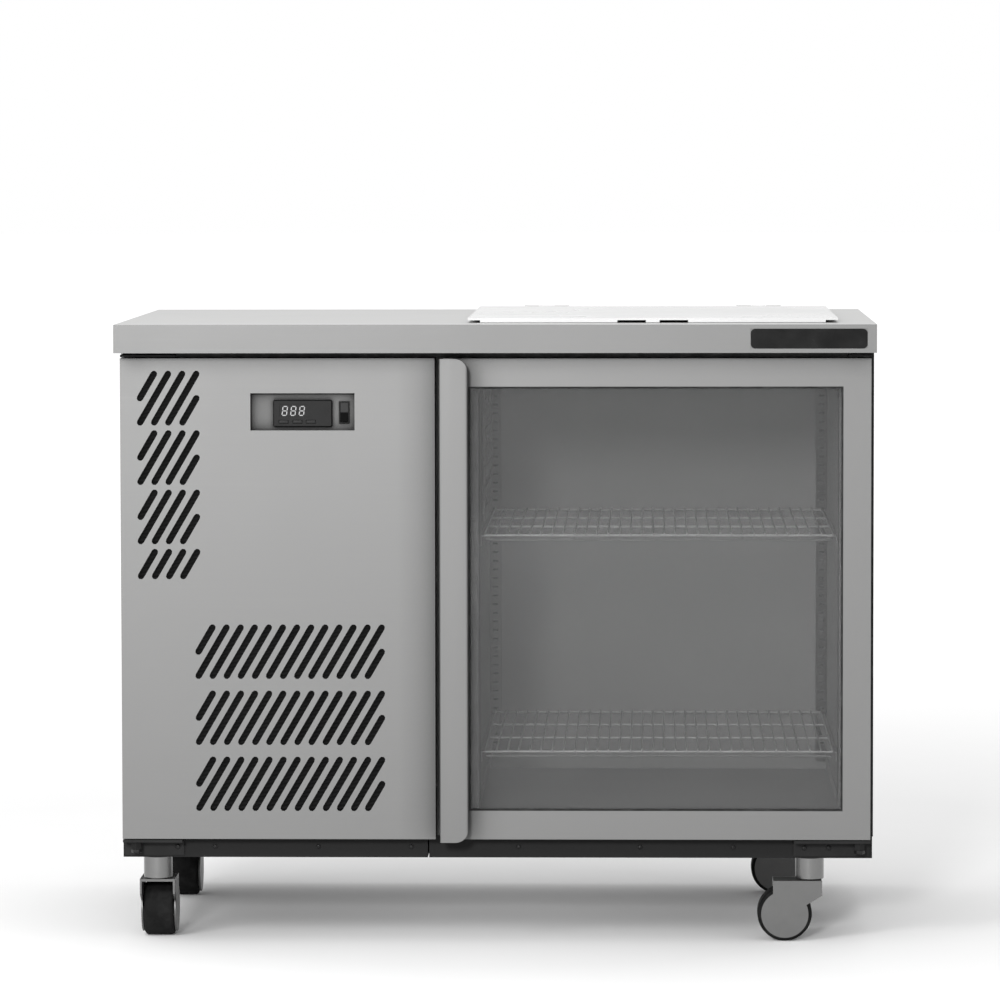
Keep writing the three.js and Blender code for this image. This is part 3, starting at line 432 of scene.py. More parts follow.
# ---------------------------------------------------------------- drawing
def make(name, bm, body, look, replaces=(), slot=None, smooth=30, edge=0.0):
    """Turns a bmesh in millimetres into an object that rides on a body."""
    bmesh.ops.scale(bm, vec=(MM, MM, MM), verts=bm.verts)
    bmesh.ops.recalc_face_normals(bm, faces=bm.faces)
    mesh = bpy.data.meshes.new(name)
    bm.to_mesh(mesh)
    bm.free()
    mesh.materials.append(look)
    if smooth:
        mesh.polygons.foreach_set("use_smooth", [True] * len(mesh.polygons))
        mesh.set_sharp_from_angle(angle=math.radians(smooth))
    obj = bpy.data.objects.new(name, mesh)
    scene.collection.objects.link(obj)
    if edge:
        bevel(obj, edge)
    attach(obj, body)
    if replaces:
        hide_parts(*replaces)
    return obj


def add_box(bm, x0, x1, y0, y1, z0, z1):
    corners = [bm.verts.new((x, y, z)) for z in (z0, z1) for x, y in ((x0, y0), (x1, y0), (x1, y1), (x0, y1))]
    for face in ((3, 2, 1, 0), (4, 5, 6, 7), (0, 1, 5, 4), (1, 2, 6, 5), (2, 3, 7, 6), (3, 0, 4, 7)):
        bm.faces.new([corners[i] for i in face])


def arc(cx, cy, radius, start, end, count):
    """Points on an arc, in degrees, both ends included."""
    return [
        (cx + radius * math.cos(math.radians(a)), cy + radius * math.sin(math.radians(a)))
        for a in (start + (end - start) * i / count for i in range(count + 1))
    ]


def rounded(x0, x1, y0, y1, radius, count=6):
    """A rectangle's outline with round corners, counter-clockwise."""
    r = radius
    return (
        arc(x1 - r, y0 + r, r, -90, 0, count)
        + arc(x1 - r, y1 - r, r, 0, 90, count)
        + arc(x0 + r, y1 - r, r, 90, 180, count)
        + arc(x0 + r, y0 + r, r, 180, 270, count)
    )


AXES = {"x": (1, 2, 0), "y": (0, 2, 1), "z": (0, 1, 2)}


def at(axis, a, b, along):
    """A point from two coordinates of a section and one along the axis it is extruded on."""
    point = [0.0, 0.0, 0.0]
    i, j, k = AXES[axis]
    point[i], point[j], point[k] = a, b, along
    return point


def add_loft(bm, loops, closed=False):
    """Skins a row of loops of equal length, with a face over each end unless the row closes on itself."""
    rings = [[bm.verts.new(p) for p in loop] for loop in loops]
    pairs = list(zip(rings, rings[1:]))
    if closed:
        pairs.append((rings[-1], rings[0]))
    for a, b in pairs:
        for i in range(len(a)):
            j = (i + 1) % len(a)
            bm.faces.new((a[i], a[j], b[j], b[i]))
    if not closed:
        bm.faces.new(list(reversed(rings[0])))
        bm.faces.new(rings[-1])


def add_prism(bm, outline, axis, start, end):
    add_loft(bm, [[at(axis, a, b, along) for a, b in outline] for along in (start, end)])


def add_lathe(bm, profile, axis, centre, sides=40):
    """Turns (radius, along) pairs about an axis; a radius of 0 at an end closes it with one face."""
    loops = []
    for radius, along in profile:
        ring = arc(*centre, max(radius, 0.01), 0, 360 - 360 / sides, sides - 1)
        loops.append([at(axis, a, b, along) for a, b in ring])
    add_loft(bm, loops)


def add_ring(bm, profile, axis, centre, sides=40):
    """A closed profile turned about an axis that it doesn't meet."""
    loops = []
    for i in range(sides):
        u, v = math.cos(2 * math.pi * i / sides), math.sin(2 * math.pi * i / sides)
        loops.append([at(axis, centre[0] + r * u, centre[1] + r * v, along) for r, along in profile])
    add_loft(bm, loops, closed=True)


def add_tube(bm, points, radius, sides=10):
    """A round bar along straight or bent points, with slightly rounded ends."""
    path = [Vector(p) for p in points]
    up = Vector((0, 0, 1))
    loops = []
    for i, p in enumerate(path):
        ahead = (path[min(i + 1, len(path) - 1)] - path[max(i - 1, 0)]).normalized()
        if abs(ahead.dot(up)) > 0.95:
            up = Vector((1, 0, 0))
        side = ahead.cross(up).normalized()
        up = side.cross(ahead).normalized()
        ring = [
            p + side * radius * math.cos(t) + up * radius * math.sin(t)
            for t in (2 * math.pi * j / sides for j in range(sides))
        ]
        if i == 0:
            loops.append([p + (q - p) * 0.55 for q in ring])
            ring = [q + ahead * radius * 0.4 for q in ring]
        if i == len(path) - 1:
            loops.append([q - ahead * radius * 0.4 for q in ring])
            ring = [p + (q - p) * 0.55 for q in ring]
        loops.append(ring)
    add_loft(bm, loops)


def add_frame(bm, profile, box):
    """A profile of (outwards, y) pairs swept round a rectangle in X and Z with mitred corners."""
    x0, x1, z0, z1 = box
    loops = []
    for cx, cz, sx, sz in ((x0, z0, -1, -1), (x1, z0, 1, -1), (x1, z1, 1, 1), (x0, z1, -1, 1)):
        loops.append([(cx + sx * out, y, cz + sz * out) for out, y in profile])
    add_loft(bm, loops, closed=True)


def boolean(bm, tool, operation):
    """bm joined with, cut by or cropped to another bmesh."""
    objects = []
    for part in (bm, tool):
        bmesh.ops.recalc_face_normals(part, faces=part.faces)
        mesh = bpy.data.meshes.new("temporary")
        part.to_mesh(mesh)
        part.free()
        obj = bpy.data.objects.new("temporary", mesh)
        scene.collection.objects.link(obj)
        objects.append(obj)
    modifier = objects[0].modifiers.new("cut", "BOOLEAN")
    modifier.operation, modifier.object, modifier.solver = operation, objects[1], "EXACT"
    result = bmesh.new()
    evaluated = objects[0].evaluated_get(bpy.context.evaluated_depsgraph_get())
    result.from_mesh(evaluated.to_mesh())
    evaluated.to_mesh_clear()
    for obj in objects:
        mesh = obj.data
        bpy.data.objects.remove(obj)
        bpy.data.meshes.remove(mesh)
    return result


# ---------------------------------------------------------------- screws
def screw_mesh():
    """A pan head with a cross recess, lying in +Z with its seat at 0."""
    head = bmesh.new()
    profile = [(0, -1.2), (3.6, -1.2), (4.1, 0.0), (4.0, 0.9), (3.2, 1.9), (1.8, 2.4), (0, 2.5)]
    add_lathe(head, profile, "z", (0, 0), 24)
    for half_x, half_y in ((2.4, 0.5), (0.5, 2.4)):
        recess = bmesh.new()
        add_box(recess, -half_x, half_x, -half_y, half_y, 1.1, 4)
        head = boolean(head, recess, "DIFFERENCE")
    bmesh.ops.scale(head, vec=(MM, MM, MM), verts=head.verts)
    mesh = bpy.data.meshes.new("screw")
    head.to_mesh(mesh)
    head.free()
    mesh.polygons.foreach_set("use_smooth", [True] * len(mesh.polygons))
    mesh.set_sharp_from_angle(angle=math.radians(30))
    return mesh


SCREW = screw_mesh()


def screw(name, at_mm, normal, body, look, size=1.0):
    obj = bpy.data.objects.new(name, SCREW.copy())
    obj.data.materials.clear()
    obj.data.materials.append(look)
    turn = Vector(normal).to_track_quat("Z", "Y").to_matrix().to_4x4()
    spin = Matrix.Rotation(rng.uniform(0, math.pi / 2), 4, "Z")
    obj.data.transform(Matrix.Translation(Vector(at_mm) * MM) @ turn @ spin @ Matrix.Scale(size, 4))
    scene.collection.objects.link(obj)
    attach(obj, body)


# ---------------------------------------------------------------- handle
def build_handle():
    b = Box("door_handle")
    front, foot = b.y0, b.y1
    flange, web, nose = 5.0, 4.0, 2.5
    section = (
        [(b.x0, foot), (b.x0, front + 2)]
        + arc(b.x0 + 2, front + 2, 2, 180, 270, 4)[1:]
        + arc(b.x1 - nose, front + nose, nose, -90, 90, 10)
        + [(b.x0 + web + 1.5, front + flange)]
        + list(reversed(arc(b.x0 + web + 1.5, front + flange + 1.5, 1.5, 180, 270, 3)))[1:]
        + [(b.x0 + web, foot - 3), (b.x0 + 18, foot - 3), (b.x0 + 18, foot)]
    )
    bar = bmesh.new()
    add_prism(bar, section, "z", b.z0, b.z1)
    corner = 18
    crop = bmesh.new()
    outline = (
        [(b.x0 - 1, b.z1), (b.x0 - 1, b.z0)]
        + arc(b.x1 - corner, b.z0 + corner, corner, -90, 0, 12)
        + arc(b.x1 - corner, b.z1 - corner, corner, 0, 90, 12)
    )
    add_prism(crop, outline, "y", front - 2, foot + 1)
    bar = boolean(bar, crop, "INTERSECT")
    make("handle_bar", bar, "door", steel_upright, ["door_handle"], "stainless", edge=0.35)
    for i, z in enumerate((b.z0 + 60, b.z, b.z1 - 60)):
        screw(f"handle_screw_{i}", (b.x0 + 12, foot - 3, z), (0, -1, 0), "door", screw_zinc, 0.8)


# ---------------------------------------------------------------- shelves and racking
def build_shelf(level):
    node = f"shelf_{level}"
    b = Box(node)
    bm = bmesh.new()
    fine, thick = 1.1, 2.0
    count = 32
    top = b.z1 - fine
    for i in range(count):
        x = b.x0 + thick + (b.x1 - b.x0 - 2 * thick) * i / (count - 1)
        bend = (x, b.y0 + 0.8, b.z1 - 2.6 - fine)
        add_tube(bm, [bend, (x, b.y0 + 1.4, top), (x, b.y0 + 6, top), (x, b.y1 - 1, top)], fine, 8)
    make(f"{node}_wires", bm, "cabinet", dull_wire, [node], "stainless")
    bm = bmesh.new()
    rows = 4
    for i in range(rows):
        y = b.y0 + thick + (b.y1 - b.y0 - 2 * thick) * i / (rows - 1)
        add_tube(bm, [(b.x0 + 1, y, b.z1 - 2 * fine - 1.5), (b.x1 - 1, y, b.z1 - 2 * fine - 1.5)], 1.6, 8)
    make(f"{node}_cross_wires", bm, "cabinet", chrome_wire, slot="stainless")
    # A second wire hangs just below the front edge, on short risers.
    drop = bmesh.new()
    y = b.y0 + 3.2
    z = b.z1 - 10
    add_tube(drop, [(b.x0 + 3, y, z), (b.x1 - 3, y, z)], 1.5, 8)
    for i in range(5):
        x = b.x0 + 12 + (b.x1 - b.x0 - 24) * i / 4
        add_tube(drop, [(x, y, z), (x, y, b.z0 + 1)], 1.2, 8)
    make(f"{node}_front_rail", drop, "cabinet", dark_wire, slot="stainless")


SLOT_WIDTH, SLOT_HEIGHT, SLOT_PITCH = 7.5, 3, 13


def add_slotted_strip(bm, across0, across1, z0, z1, place_point):
    """A flat strip with a row of slots: quads round each hole. place_point maps (across, z) to 3-D."""
    middle = (across0 + across1) / 2
    columns = [across0, middle - SLOT_WIDTH / 2, middle + SLOT_WIDTH / 2, across1]
    levels = [z0]
    z = z0 + SLOT_PITCH
    while z < z1 - SLOT_PITCH:
        levels += [z, z + SLOT_HEIGHT]
        z += SLOT_PITCH
    levels.append(z1)
    grid = [[bm.verts.new(place_point(a, level)) for a in columns] for level in levels]
    for row in range(len(levels) - 1):
        for col in range(3):
            if col == 1 and row % 2 == 1:
                continue
            bm.faces.new((grid[row][col], grid[row][col + 1], grid[row + 1][col + 1], grid[row + 1][col]))


def build_racking():
    for side, inward in (("left", 1), ("right", -1)):
        b = Box(f"pilaster_{side}")
        wall = b.x0 if inward > 0 else b.x1
        width, depth = 16.7, 6
        a0, a1 = sorted((wall, wall + inward * width))
        bm = bmesh.new()
        add_slotted_strip(bm, a0, a1, b.z0, b.z1, lambda a, z: (a, b.y1 - depth, z))
        y0 = -215
        add_slotted_strip(bm, y0, y0 + 17, b.z0, b.z1, lambda a, z: (wall + inward * 1.9, a, z))
        bmesh.ops.solidify(bm, geom=bm.faces[:] + bm.edges[:] + bm.verts[:], thickness=1.2)
        for x in (a0, a1 - 1.2):
            add_box(bm, x, x + 1.2, b.y1 - depth + 0.1, b.y1, b.z0, b.z1)
        ties = sorted((wall + inward * 0.2, wall + inward * 1.6))
        for z in (b.z0, b.z1 - 12):
            add_box(bm, *ties, y0 + 8, b.y1 - 4, z, z + 12)
        node = f"pilaster_{side}"
        make(f"slotted_upright_{side}", bm, "cabinet", steel_inside, [node], "stainless", smooth=0)
        # A near-black strip inside each channel paints the shade seen through the slots.
        bm = bmesh.new()
        add_box(bm, a0 + 1.4, a1 - 1.4, b.y1 - 4.0, b.y1 - 3.2, b.z0 + 0.5, b.z1 - 0.5)
        behind_slots = sorted((wall + inward * 0.2, wall + inward * 0.6))
        add_box(bm, *behind_slots, y0 + 0.5, y0 + 16.5, b.z0 + 12.5, b.z1 - 12.5)
        make(f"slot_shade_strip_{side}", bm, "cabinet", slot_shade_plastic, slot="grey_plastic", smooth=0)


# ---------------------------------------------------------------- door
def build_door_trim():
    seal = Box("door_gasket")
    lip = [
        (0, seal.y0), (14, seal.y0), (14, seal.y0 + 2), (11.5, seal.y0 + 3.4), (13.2, seal.y0 + 5.4),
        (11, seal.y1 - 1), (8, seal.y1), (3, seal.y1), (0.8, seal.y1 - 1.4), (2.6, seal.y0 + 4.6),
        (0, seal.y0 + 3)
    ]
    bm = bmesh.new()
    add_frame(bm, lip, (seal.x0 + 14, seal.x1 - 14, seal.z0 + 14, seal.z1 - 14))
    make("bellows_seal", bm, "door", seal_rubber, ["door_gasket"], "rubber", smooth=35)

    face, glass = Box("door_frame").y0, Box("door_glass_outer")
    view = (glass.x0 + 11.5, glass.x1 - 11.5, glass.z0 + 11.5, glass.z1 - 11.5)
    bead = [(0.0, face + 1.2), (0.0, face + 4.0), (-2.2, face + 4.0), (-2.6, face + 3.2), (-1.4, face + 1.6)]
    bm = bmesh.new()
    add_frame(bm, bead, view)
    make("glazing_bead", bm, "door", seal_rubber, slot="rubber")


build_handle()
for level in ("upper", "lower"):
    build_shelf(level)
build_racking()
build_door_trim()


# ---------------------------------------------------------------- a painted shade strip, trims and filters
def build_strips():
    panel, worktop = Box("service_panel"), Box("worktop")
    low, high = panel.z1 + 1.4, worktop.z0 - 0.6
    # A black strip in the gap under the worktop paints the shade that falls there.
    bm = bmesh.new()
    add_prism(bm, [(-292, low), (-286, low), (-284.5, high), (-293.5, high)], "x", -443, 487)
    make("worktop_shade_strip", bm, "cabinet", seal_rubber, slot="rubber")
    bm = bmesh.new()
    section = [(519.9, -262.1), (524.6, -262.1), (524.6, -259.0), (523.9, -258.4), (519.9, -258.4)]
    add_prism(bm, section, "z", 147.5, 825.4)
    make("corner_trim", bm, "cabinet", seal_rubber, slot="rubber")
    # Pleated air filters, almost black, are clipped behind the two groups of slots; their black also paints
    # the shade seen through the slots.
    for name, x0, x1, z0, z1 in (("side", -512, -392, 504, 808), ("coil", -432, -132, 172, 468)):
        bm = bmesh.new()
        outline = []
        pleats = round((z1 - z0) / 6)
        for i in range(2 * pleats + 1):
            outline.append((-294.5 if i % 2 else -297.3, z0 + (z1 - z0) * i / (2 * pleats)))
        outline += [(-290.5, z1), (-290.5, z0)]
        add_prism(bm, outline, "x", x0, x1)
        make(f"air_filter_{name}", bm, "service_panel", filter_shade_black, slot="black_plastic", smooth=0)
        bm = bmesh.new()
        rail = [(0, -298.2), (0, -289.8), (-6, -289.8), (-6, -290.6), (-1.2, -290.6), (-1.2, -298.2)]
        add_frame(bm, rail, (x0 - 1.4, x1 + 1.4, z0 - 1.4, z1 + 1.4))
        make(f"filter_frame_{name}", bm, "service_panel", black_moulded, slot="black_plastic", smooth=0)


def build_breaker():
    """A plastic breaker strip covers the foam's edge round the cavity's mouth."""
    cavity = (-26.0, 478.0, 178.0, 785.0)
    bm = bmesh.new()
    add_frame(bm, [(0.2, -258.05), (22, -258.05), (22, -258.38), (0.8, -258.38), (0.2, -258.2)], cavity)
    make("breaker_strip", bm, "cabinet", breaker_plastic, slot="grey_plastic", smooth=0)


DOOR_PIVOT_X, PANEL_PIVOT_X, PIVOT_Y = 505, -503, -284


def build_base_fixings():
    base_front = Box("cabinet_base").y0
    leg = base_front - 3.3  # front face of the hinge brackets
    for i, (x, z) in enumerate(((429, 131.5), (463, 131.5))):
        screw(f"door_bracket_screw_{i}", (x, leg, z), (0, -1, 0), "cabinet", screw_dark, 0.9)
    screw("panel_bracket_screw", (-447, leg, 132), (0, -1, 0), "cabinet", screw_dark, 0.9)
    for i, x in enumerate((-395, -250, -120, 30, 200, 330)):
        screw(f"base_screw_{i}", (x, base_front, 132), (0, -1, 0), "cabinet", screw_dark, 0.8)
    # Each pivot pin ends in a lock nut below its bracket; its washer is not drawn.
    for name, x in (("door", DOOR_PIVOT_X), ("panel", PANEL_PIVOT_X)):
        bm = bmesh.new()
        levels = ((6.9, 125.8), (7.8, 126.6), (7.8, 130.6), (6.9, 130.9))
        add_loft(bm, [[(u, v, z) for u, v in arc(x, PIVOT_Y, radius, 0, 300, 5)] for radius, z in levels])
        make(f"{name}_lock_nut", bm, "cabinet", screw_dark, slot="dark_steel", smooth=0, edge=0.3)


BACK_FACE = 340.0
FOAM_HOLE, CABLE_GLAND = (225, 163), (-480, 175)


def build_case_screws():
    back = Box("unit_back_cover")
    columns, rows = (back.x0 + 10, back.x0 + 220, back.x1 - 10), (back.z0 + 12, back.z1 - 12)
    points = [(x, z) for x in columns for z in rows]
    points += [(x, back.z0 + 340) for x in (back.x0 + 10, back.x1 - 10)]
    for i, (x, z) in enumerate(points):
        screw(f"back_screw_{i}", (x, BACK_FACE, z), (0, 1, 0), "cabinet", screw_zinc, 0.85)
    side = Box("side_panel_left")
    rows = (side.z0 + 14, side.z0 + 330, side.z1 - 16)
    for i, (y, z) in enumerate((y, z) for y in (side.y0 + 12, side.y1 - 14) for z in rows):
        screw(f"side_screw_{i}", (side.x0 + 0.6, y, z), (-1, 0, 0), "cabinet", screw_zinc, 0.55)
    # A cap closes the hole that the foam was filled through.
    bm = bmesh.new()
    cap = [
        (0, BACK_FACE - 1.1), (8.4, BACK_FACE - 1.1), (8.4, BACK_FACE + 0.15), (12, BACK_FACE + 0.15),
        (12, BACK_FACE + 0.9), (10.8, BACK_FACE + 1.7), (0, BACK_FACE + 2.1)
    ]
    add_lathe(bm, cap, "y", FOAM_HOLE, 36)
    make("foam_hole_cap", bm, "cabinet", black_moulded, slot="black_plastic", smooth=30)
    # The cable gland's lock nut.
    bm = bmesh.new()
    ring = [
        (14.5, BACK_FACE + 0.2), (15.2, BACK_FACE + 1), (15.2, BACK_FACE + 4.4), (14.2, BACK_FACE + 5),
        (11.4, BACK_FACE + 5), (11.4, BACK_FACE + 0.2)
    ]
    add_ring(bm, ring, "y", CABLE_GLAND, 6)
    make("gland_nut", bm, "cabinet", black_moulded, slot="black_plastic", smooth=0, edge=0.4)


build_strips()
build_breaker()
build_base_fixings()
build_case_screws()


# ---------------------------------------------------------------- worktop well, pans and lid
def build_pan(node):
    """A pressed pan: a rolled rim, drawn walls with a slight taper and a rounded bottom."""
    b = Box(node)

    def loop(inset, z, radius):
        ring = rounded(b.x0 + inset, b.x1 - inset, b.y0 + inset, b.y1 - inset, radius, 8)
        return [(x, y, z) for x, y in ring]

    inside = [
        (24, b.z0 + 1.0, 8), (18.5, b.z0 + 2.6, 12), (15.0, b.z0 + 7, 14), (13.6, b.z0 + 22, 15),
        (13.2, b.z1 - 5, 15)
    ]
    rim = [
        (11.8, b.z1 - 1.2, 15), (10.2, b.z1 - 0.1, 14), (2.2, b.z1, 10), (0.7, b.z1 - 0.5, 9),
        (0.0, b.z1 - 1.6, 9), (0.9, b.z1 - 1.7, 8.6)
    ]
    outside = [
        (2.4, b.z1 - 1.1, 9), (9.6, b.z1 - 1.2, 13), (11.2, b.z1 - 2.4, 14), (12.2, b.z1 - 6, 14),
        (12.6, b.z0 + 22, 14), (14.0, b.z0 + 6.4, 13), (17.8, b.z0 + 1.4, 11), (24, b.z0, 8)
    ]
    bm = bmesh.new()
    add_loft(bm, [loop(*row) for row in inside + rim + outside])
    make(f"{node}_tub", bm, "cabinet", steel_pan, [node], "stainless", smooth=50)


for node in ("pan_half_front", "pan_half_rear", "pan_long_right"):
    build_pan(node)


LID_HINGES_X = (60, 375)


def build_lid_trim():
    lid = Box("lid")
    top = 871.7  # upper face of the lid's sheet
    # Rubber bumpers under the front edge, two at its corners and two beside the pull.
    profile = [(0, 865.4), (4.6, 865.4), (5.2, 866.0), (5.2, 868.0), (4.6, 868.6), (0, 868.6)]
    for i, x in enumerate((lid.x0 + 37, lid.x1 - 37, lid.x - 60, lid.x + 60)):
        bm = bmesh.new()
        add_lathe(bm, profile, "z", (x, lid.y0 + (22 if i < 2 else 10)), 24)
        make(f"lid_bumper_{i}", bm, "lid", seal_rubber, slot="rubber")
    for i, x in enumerate(LID_HINGES_X):
        for side in (-1, 1):
            seat = (x + side * 6, lid.y1 - 22, top - 1.4)
            screw(f"lid_hinge_screw_{i}_{side}", seat, (0, 0, 1), "lid", screw_zinc, 0.45)


build_lid_trim()


# ---------------------------------------------------------------- refrigeration unit
# Centres of the turned pieces, in the two axes across each one's own.
CONDENSER_FAN_CENTRE, EVAPORATOR_FAN_CENTRE = (-275, 300), (0, 674)
COMPRESSOR_CENTRE, DRIER_CENTRE = (-330.0, 110.0), (-114, 134)


def build_fan(node, axis, centre, radius, span, blades, body, hub):
    """A moulded fan: swept, twisted blades on a cup-shaped hub."""
    lo, hi = span
    mid = (lo + hi) / 2
    bm = bmesh.new()
    rows, columns = 7, 7
    for k in range(blades):
        grid = []
        for i in range(rows):
            t = i / (rows - 1)
            r = hub - 1 + (radius - 0.6 - hub + 1) * t
            chord = math.radians(34 + 20 * math.sin(math.pi * (0.15 + 0.7 * t)))
            sweep = math.radians(22) * t * t
            depth = (hi - lo) * (0.82 - 0.30 * t)
            row = []
            for j in range(columns):
                u = j / (columns - 1) - 0.5
                a = 2 * math.pi * k / blades + sweep + chord * u
                camber = 3.0 * (1 - 4 * u * u)
                along = mid + depth * u + camber - 1.5
                point = at(axis, centre[0] + r * math.cos(a), centre[1] + r * math.sin(a), along)
                row.append(bm.verts.new(point))
            grid.append(row)
        for i in range(rows - 1):
            for j in range(columns - 1):
                bm.faces.new((grid[i][j], grid[i + 1][j], grid[i + 1][j + 1], grid[i][j + 1]))
    bmesh.ops.solidify(bm, geom=bm.faces[:] + bm.edges[:] + bm.verts[:], thickness=1.4)
    make(f"{node}_blades", bm, body, black_moulded, [node], "grey_plastic", smooth=40)
    bm = bmesh.new()
    cup = [(0, lo), (hub * 0.55, lo), (hub * 0.9, lo + 1.5), (hub, lo + 4), (hub, hi - 2), (hub * 0.94, hi)]
    add_lathe(bm, cup + [(0, hi)], axis, centre, 40)
    make(f"{node}_hub", bm, body, black_moulded, slot="grey_plastic", smooth=35)


build_fan("condenser_fan", "y", CONDENSER_FAN_CENTRE, 112, (-145, -118), 5, "condenser_fan", 33.5)
build_fan("evaporator_fan", "x", EVAPORATOR_FAN_CENTRE, 78, (-88, -62), 5, "evaporator_fan", 23.5)


def build_motors():
    bm = bmesh.new()
    profile = [(0, -97.5), (36, -97.5), (38, -95.5)]
    for i in range(7):
        y = -92 + i * 6
        profile += [(38, y), (35.5, y + 0.8), (35.5, y + 2.6), (38, y + 3.4)]
    profile += [(38, -48), (36, -45), (22, -44), (20, -42), (20, -40), (18, -38), (0, -38)]
    add_lathe(bm, profile, "y", CONDENSER_FAN_CENTRE, 48)
    make("condenser_motor_can", bm, "cabinet", enamel, ["condenser_fan_motor"], "black_paint", smooth=30)

    bm = bmesh.new()
    can = Box("compressor")
    (x, y), base = COMPRESSOR_CENTRE, can.z0 + 22
    profile = [
        (0, 0), (68, 0), (80, 5), (86, 16), (88, 40), (88, 73), (91.6, 75), (92, 78), (91.6, 81), (88, 83),
        (87.6, 110), (86, 132), (80, 152), (68, 167), (48, 177), (24, 181), (0, 182)
    ]
    add_lathe(bm, [(radius, base + z) for radius, z in profile], "z", COMPRESSOR_CENTRE, 64)
    make("compressor_can", bm, "cabinet", enamel, ["compressor"], "black_paint", smooth=40)
    bm = bmesh.new()
    add_prism(bm, rounded(x - 110, x + 110, y - 75, y + 75, 10, 4), "z", base - 5, base - 1)
    add_prism(bm, rounded(y - 30, y + 30, base + 40, base + 110, 6, 4), "x", x + 70, x + 118)
    make("compressor_plate", bm, "cabinet", enamel, slot="black_paint", smooth=30, edge=0.8)
    for i, (dx, dy) in enumerate(((-95, -60), (95, -60), (-95, 60), (95, 60))):
        bm = bmesh.new()
        foot = can.z0 + 0.2
        profile = [(0, 0), (12, 0), (12, 5), (9.5, 8), (9.5, 11), (11, 14), (11, 16.6), (0, 16.6)]
        add_lathe(bm, [(radius, foot + z) for radius, z in profile], "z", (x + dx, y + dy), 24)
        make(f"compressor_mount_{i}", bm, "cabinet", seal_rubber, slot="rubber")

    bm = bmesh.new()
    silhouette = [
        (4, -180), (4, -72), (5.5, -66), (11, -58), (12, -54), (12, 64), (11, 68), (5.5, 76), (4, 82),
        (4, 200)
    ]
    add_lathe(bm, [(0, -180)] + silhouette + [(0, 200)], "y", DRIER_CENTRE, 28)
    make("liquid_line", bm, "cabinet", copper, ["filter_drier"], "copper_tube", smooth=40)


def build_coils():
    """Thin fins, between end plates on the condenser, with straight tubes running through them."""
    b = Box("condenser_coil")
    bm = bmesh.new()
    for i in range(96):
        x = b.x0 + 6 + (b.x1 - b.x0 - 12) * i / 95
        add_box(bm, x - 0.25, x + 0.25, b.y0 + 1, b.y1 - 1, b.z0 + 2, b.z1 - 2)
    for x in (b.x0, b.x1 - 1.5):
        add_box(bm, x, x + 1.5, b.y0, b.y1, b.z0, b.z1)
    make("condenser_fins", bm, "cabinet", fins_aluminium, ["condenser_coil"], "aluminium_fins", smooth=0)
    bm = bmesh.new()
    for row in range(10):
        z = b.z0 + 22 + row * 31
        for y in (b.y0 + 11, b.y1 - 11):
            add_tube(bm, [(b.x0 + 0.3, y, z), (b.x1 - 0.3, y, z)], 4.2, 10)
    make("condenser_tubes", bm, "cabinet", copper, slot="copper_tube")

    b = Box("evaporator_coil")
    bm = bmesh.new()
    for i in range(60):
        y = b.y0 + 9 + (b.y1 - b.y0 - 18) * i / 59
        add_box(bm, b.x0, b.x1, y - 0.25, y + 0.25, b.z0, b.z1)
    make("evaporator_fins", bm, "cabinet", fins_aluminium, ["evaporator_coil"], "aluminium_fins", smooth=0)
    bm = bmesh.new()
    for row in range(5):
        z = b.z0 + 18 + row * 33
        for x in (b.x0 + 16, b.x1 - 16):
            add_tube(bm, [(x, b.y0 + 0.5, z), (x, b.y1 - 0.5, z)], 4.2, 10)
    make("evaporator_tubes", bm, "cabinet", copper, slot="copper_tube")


build_motors()
build_coils()


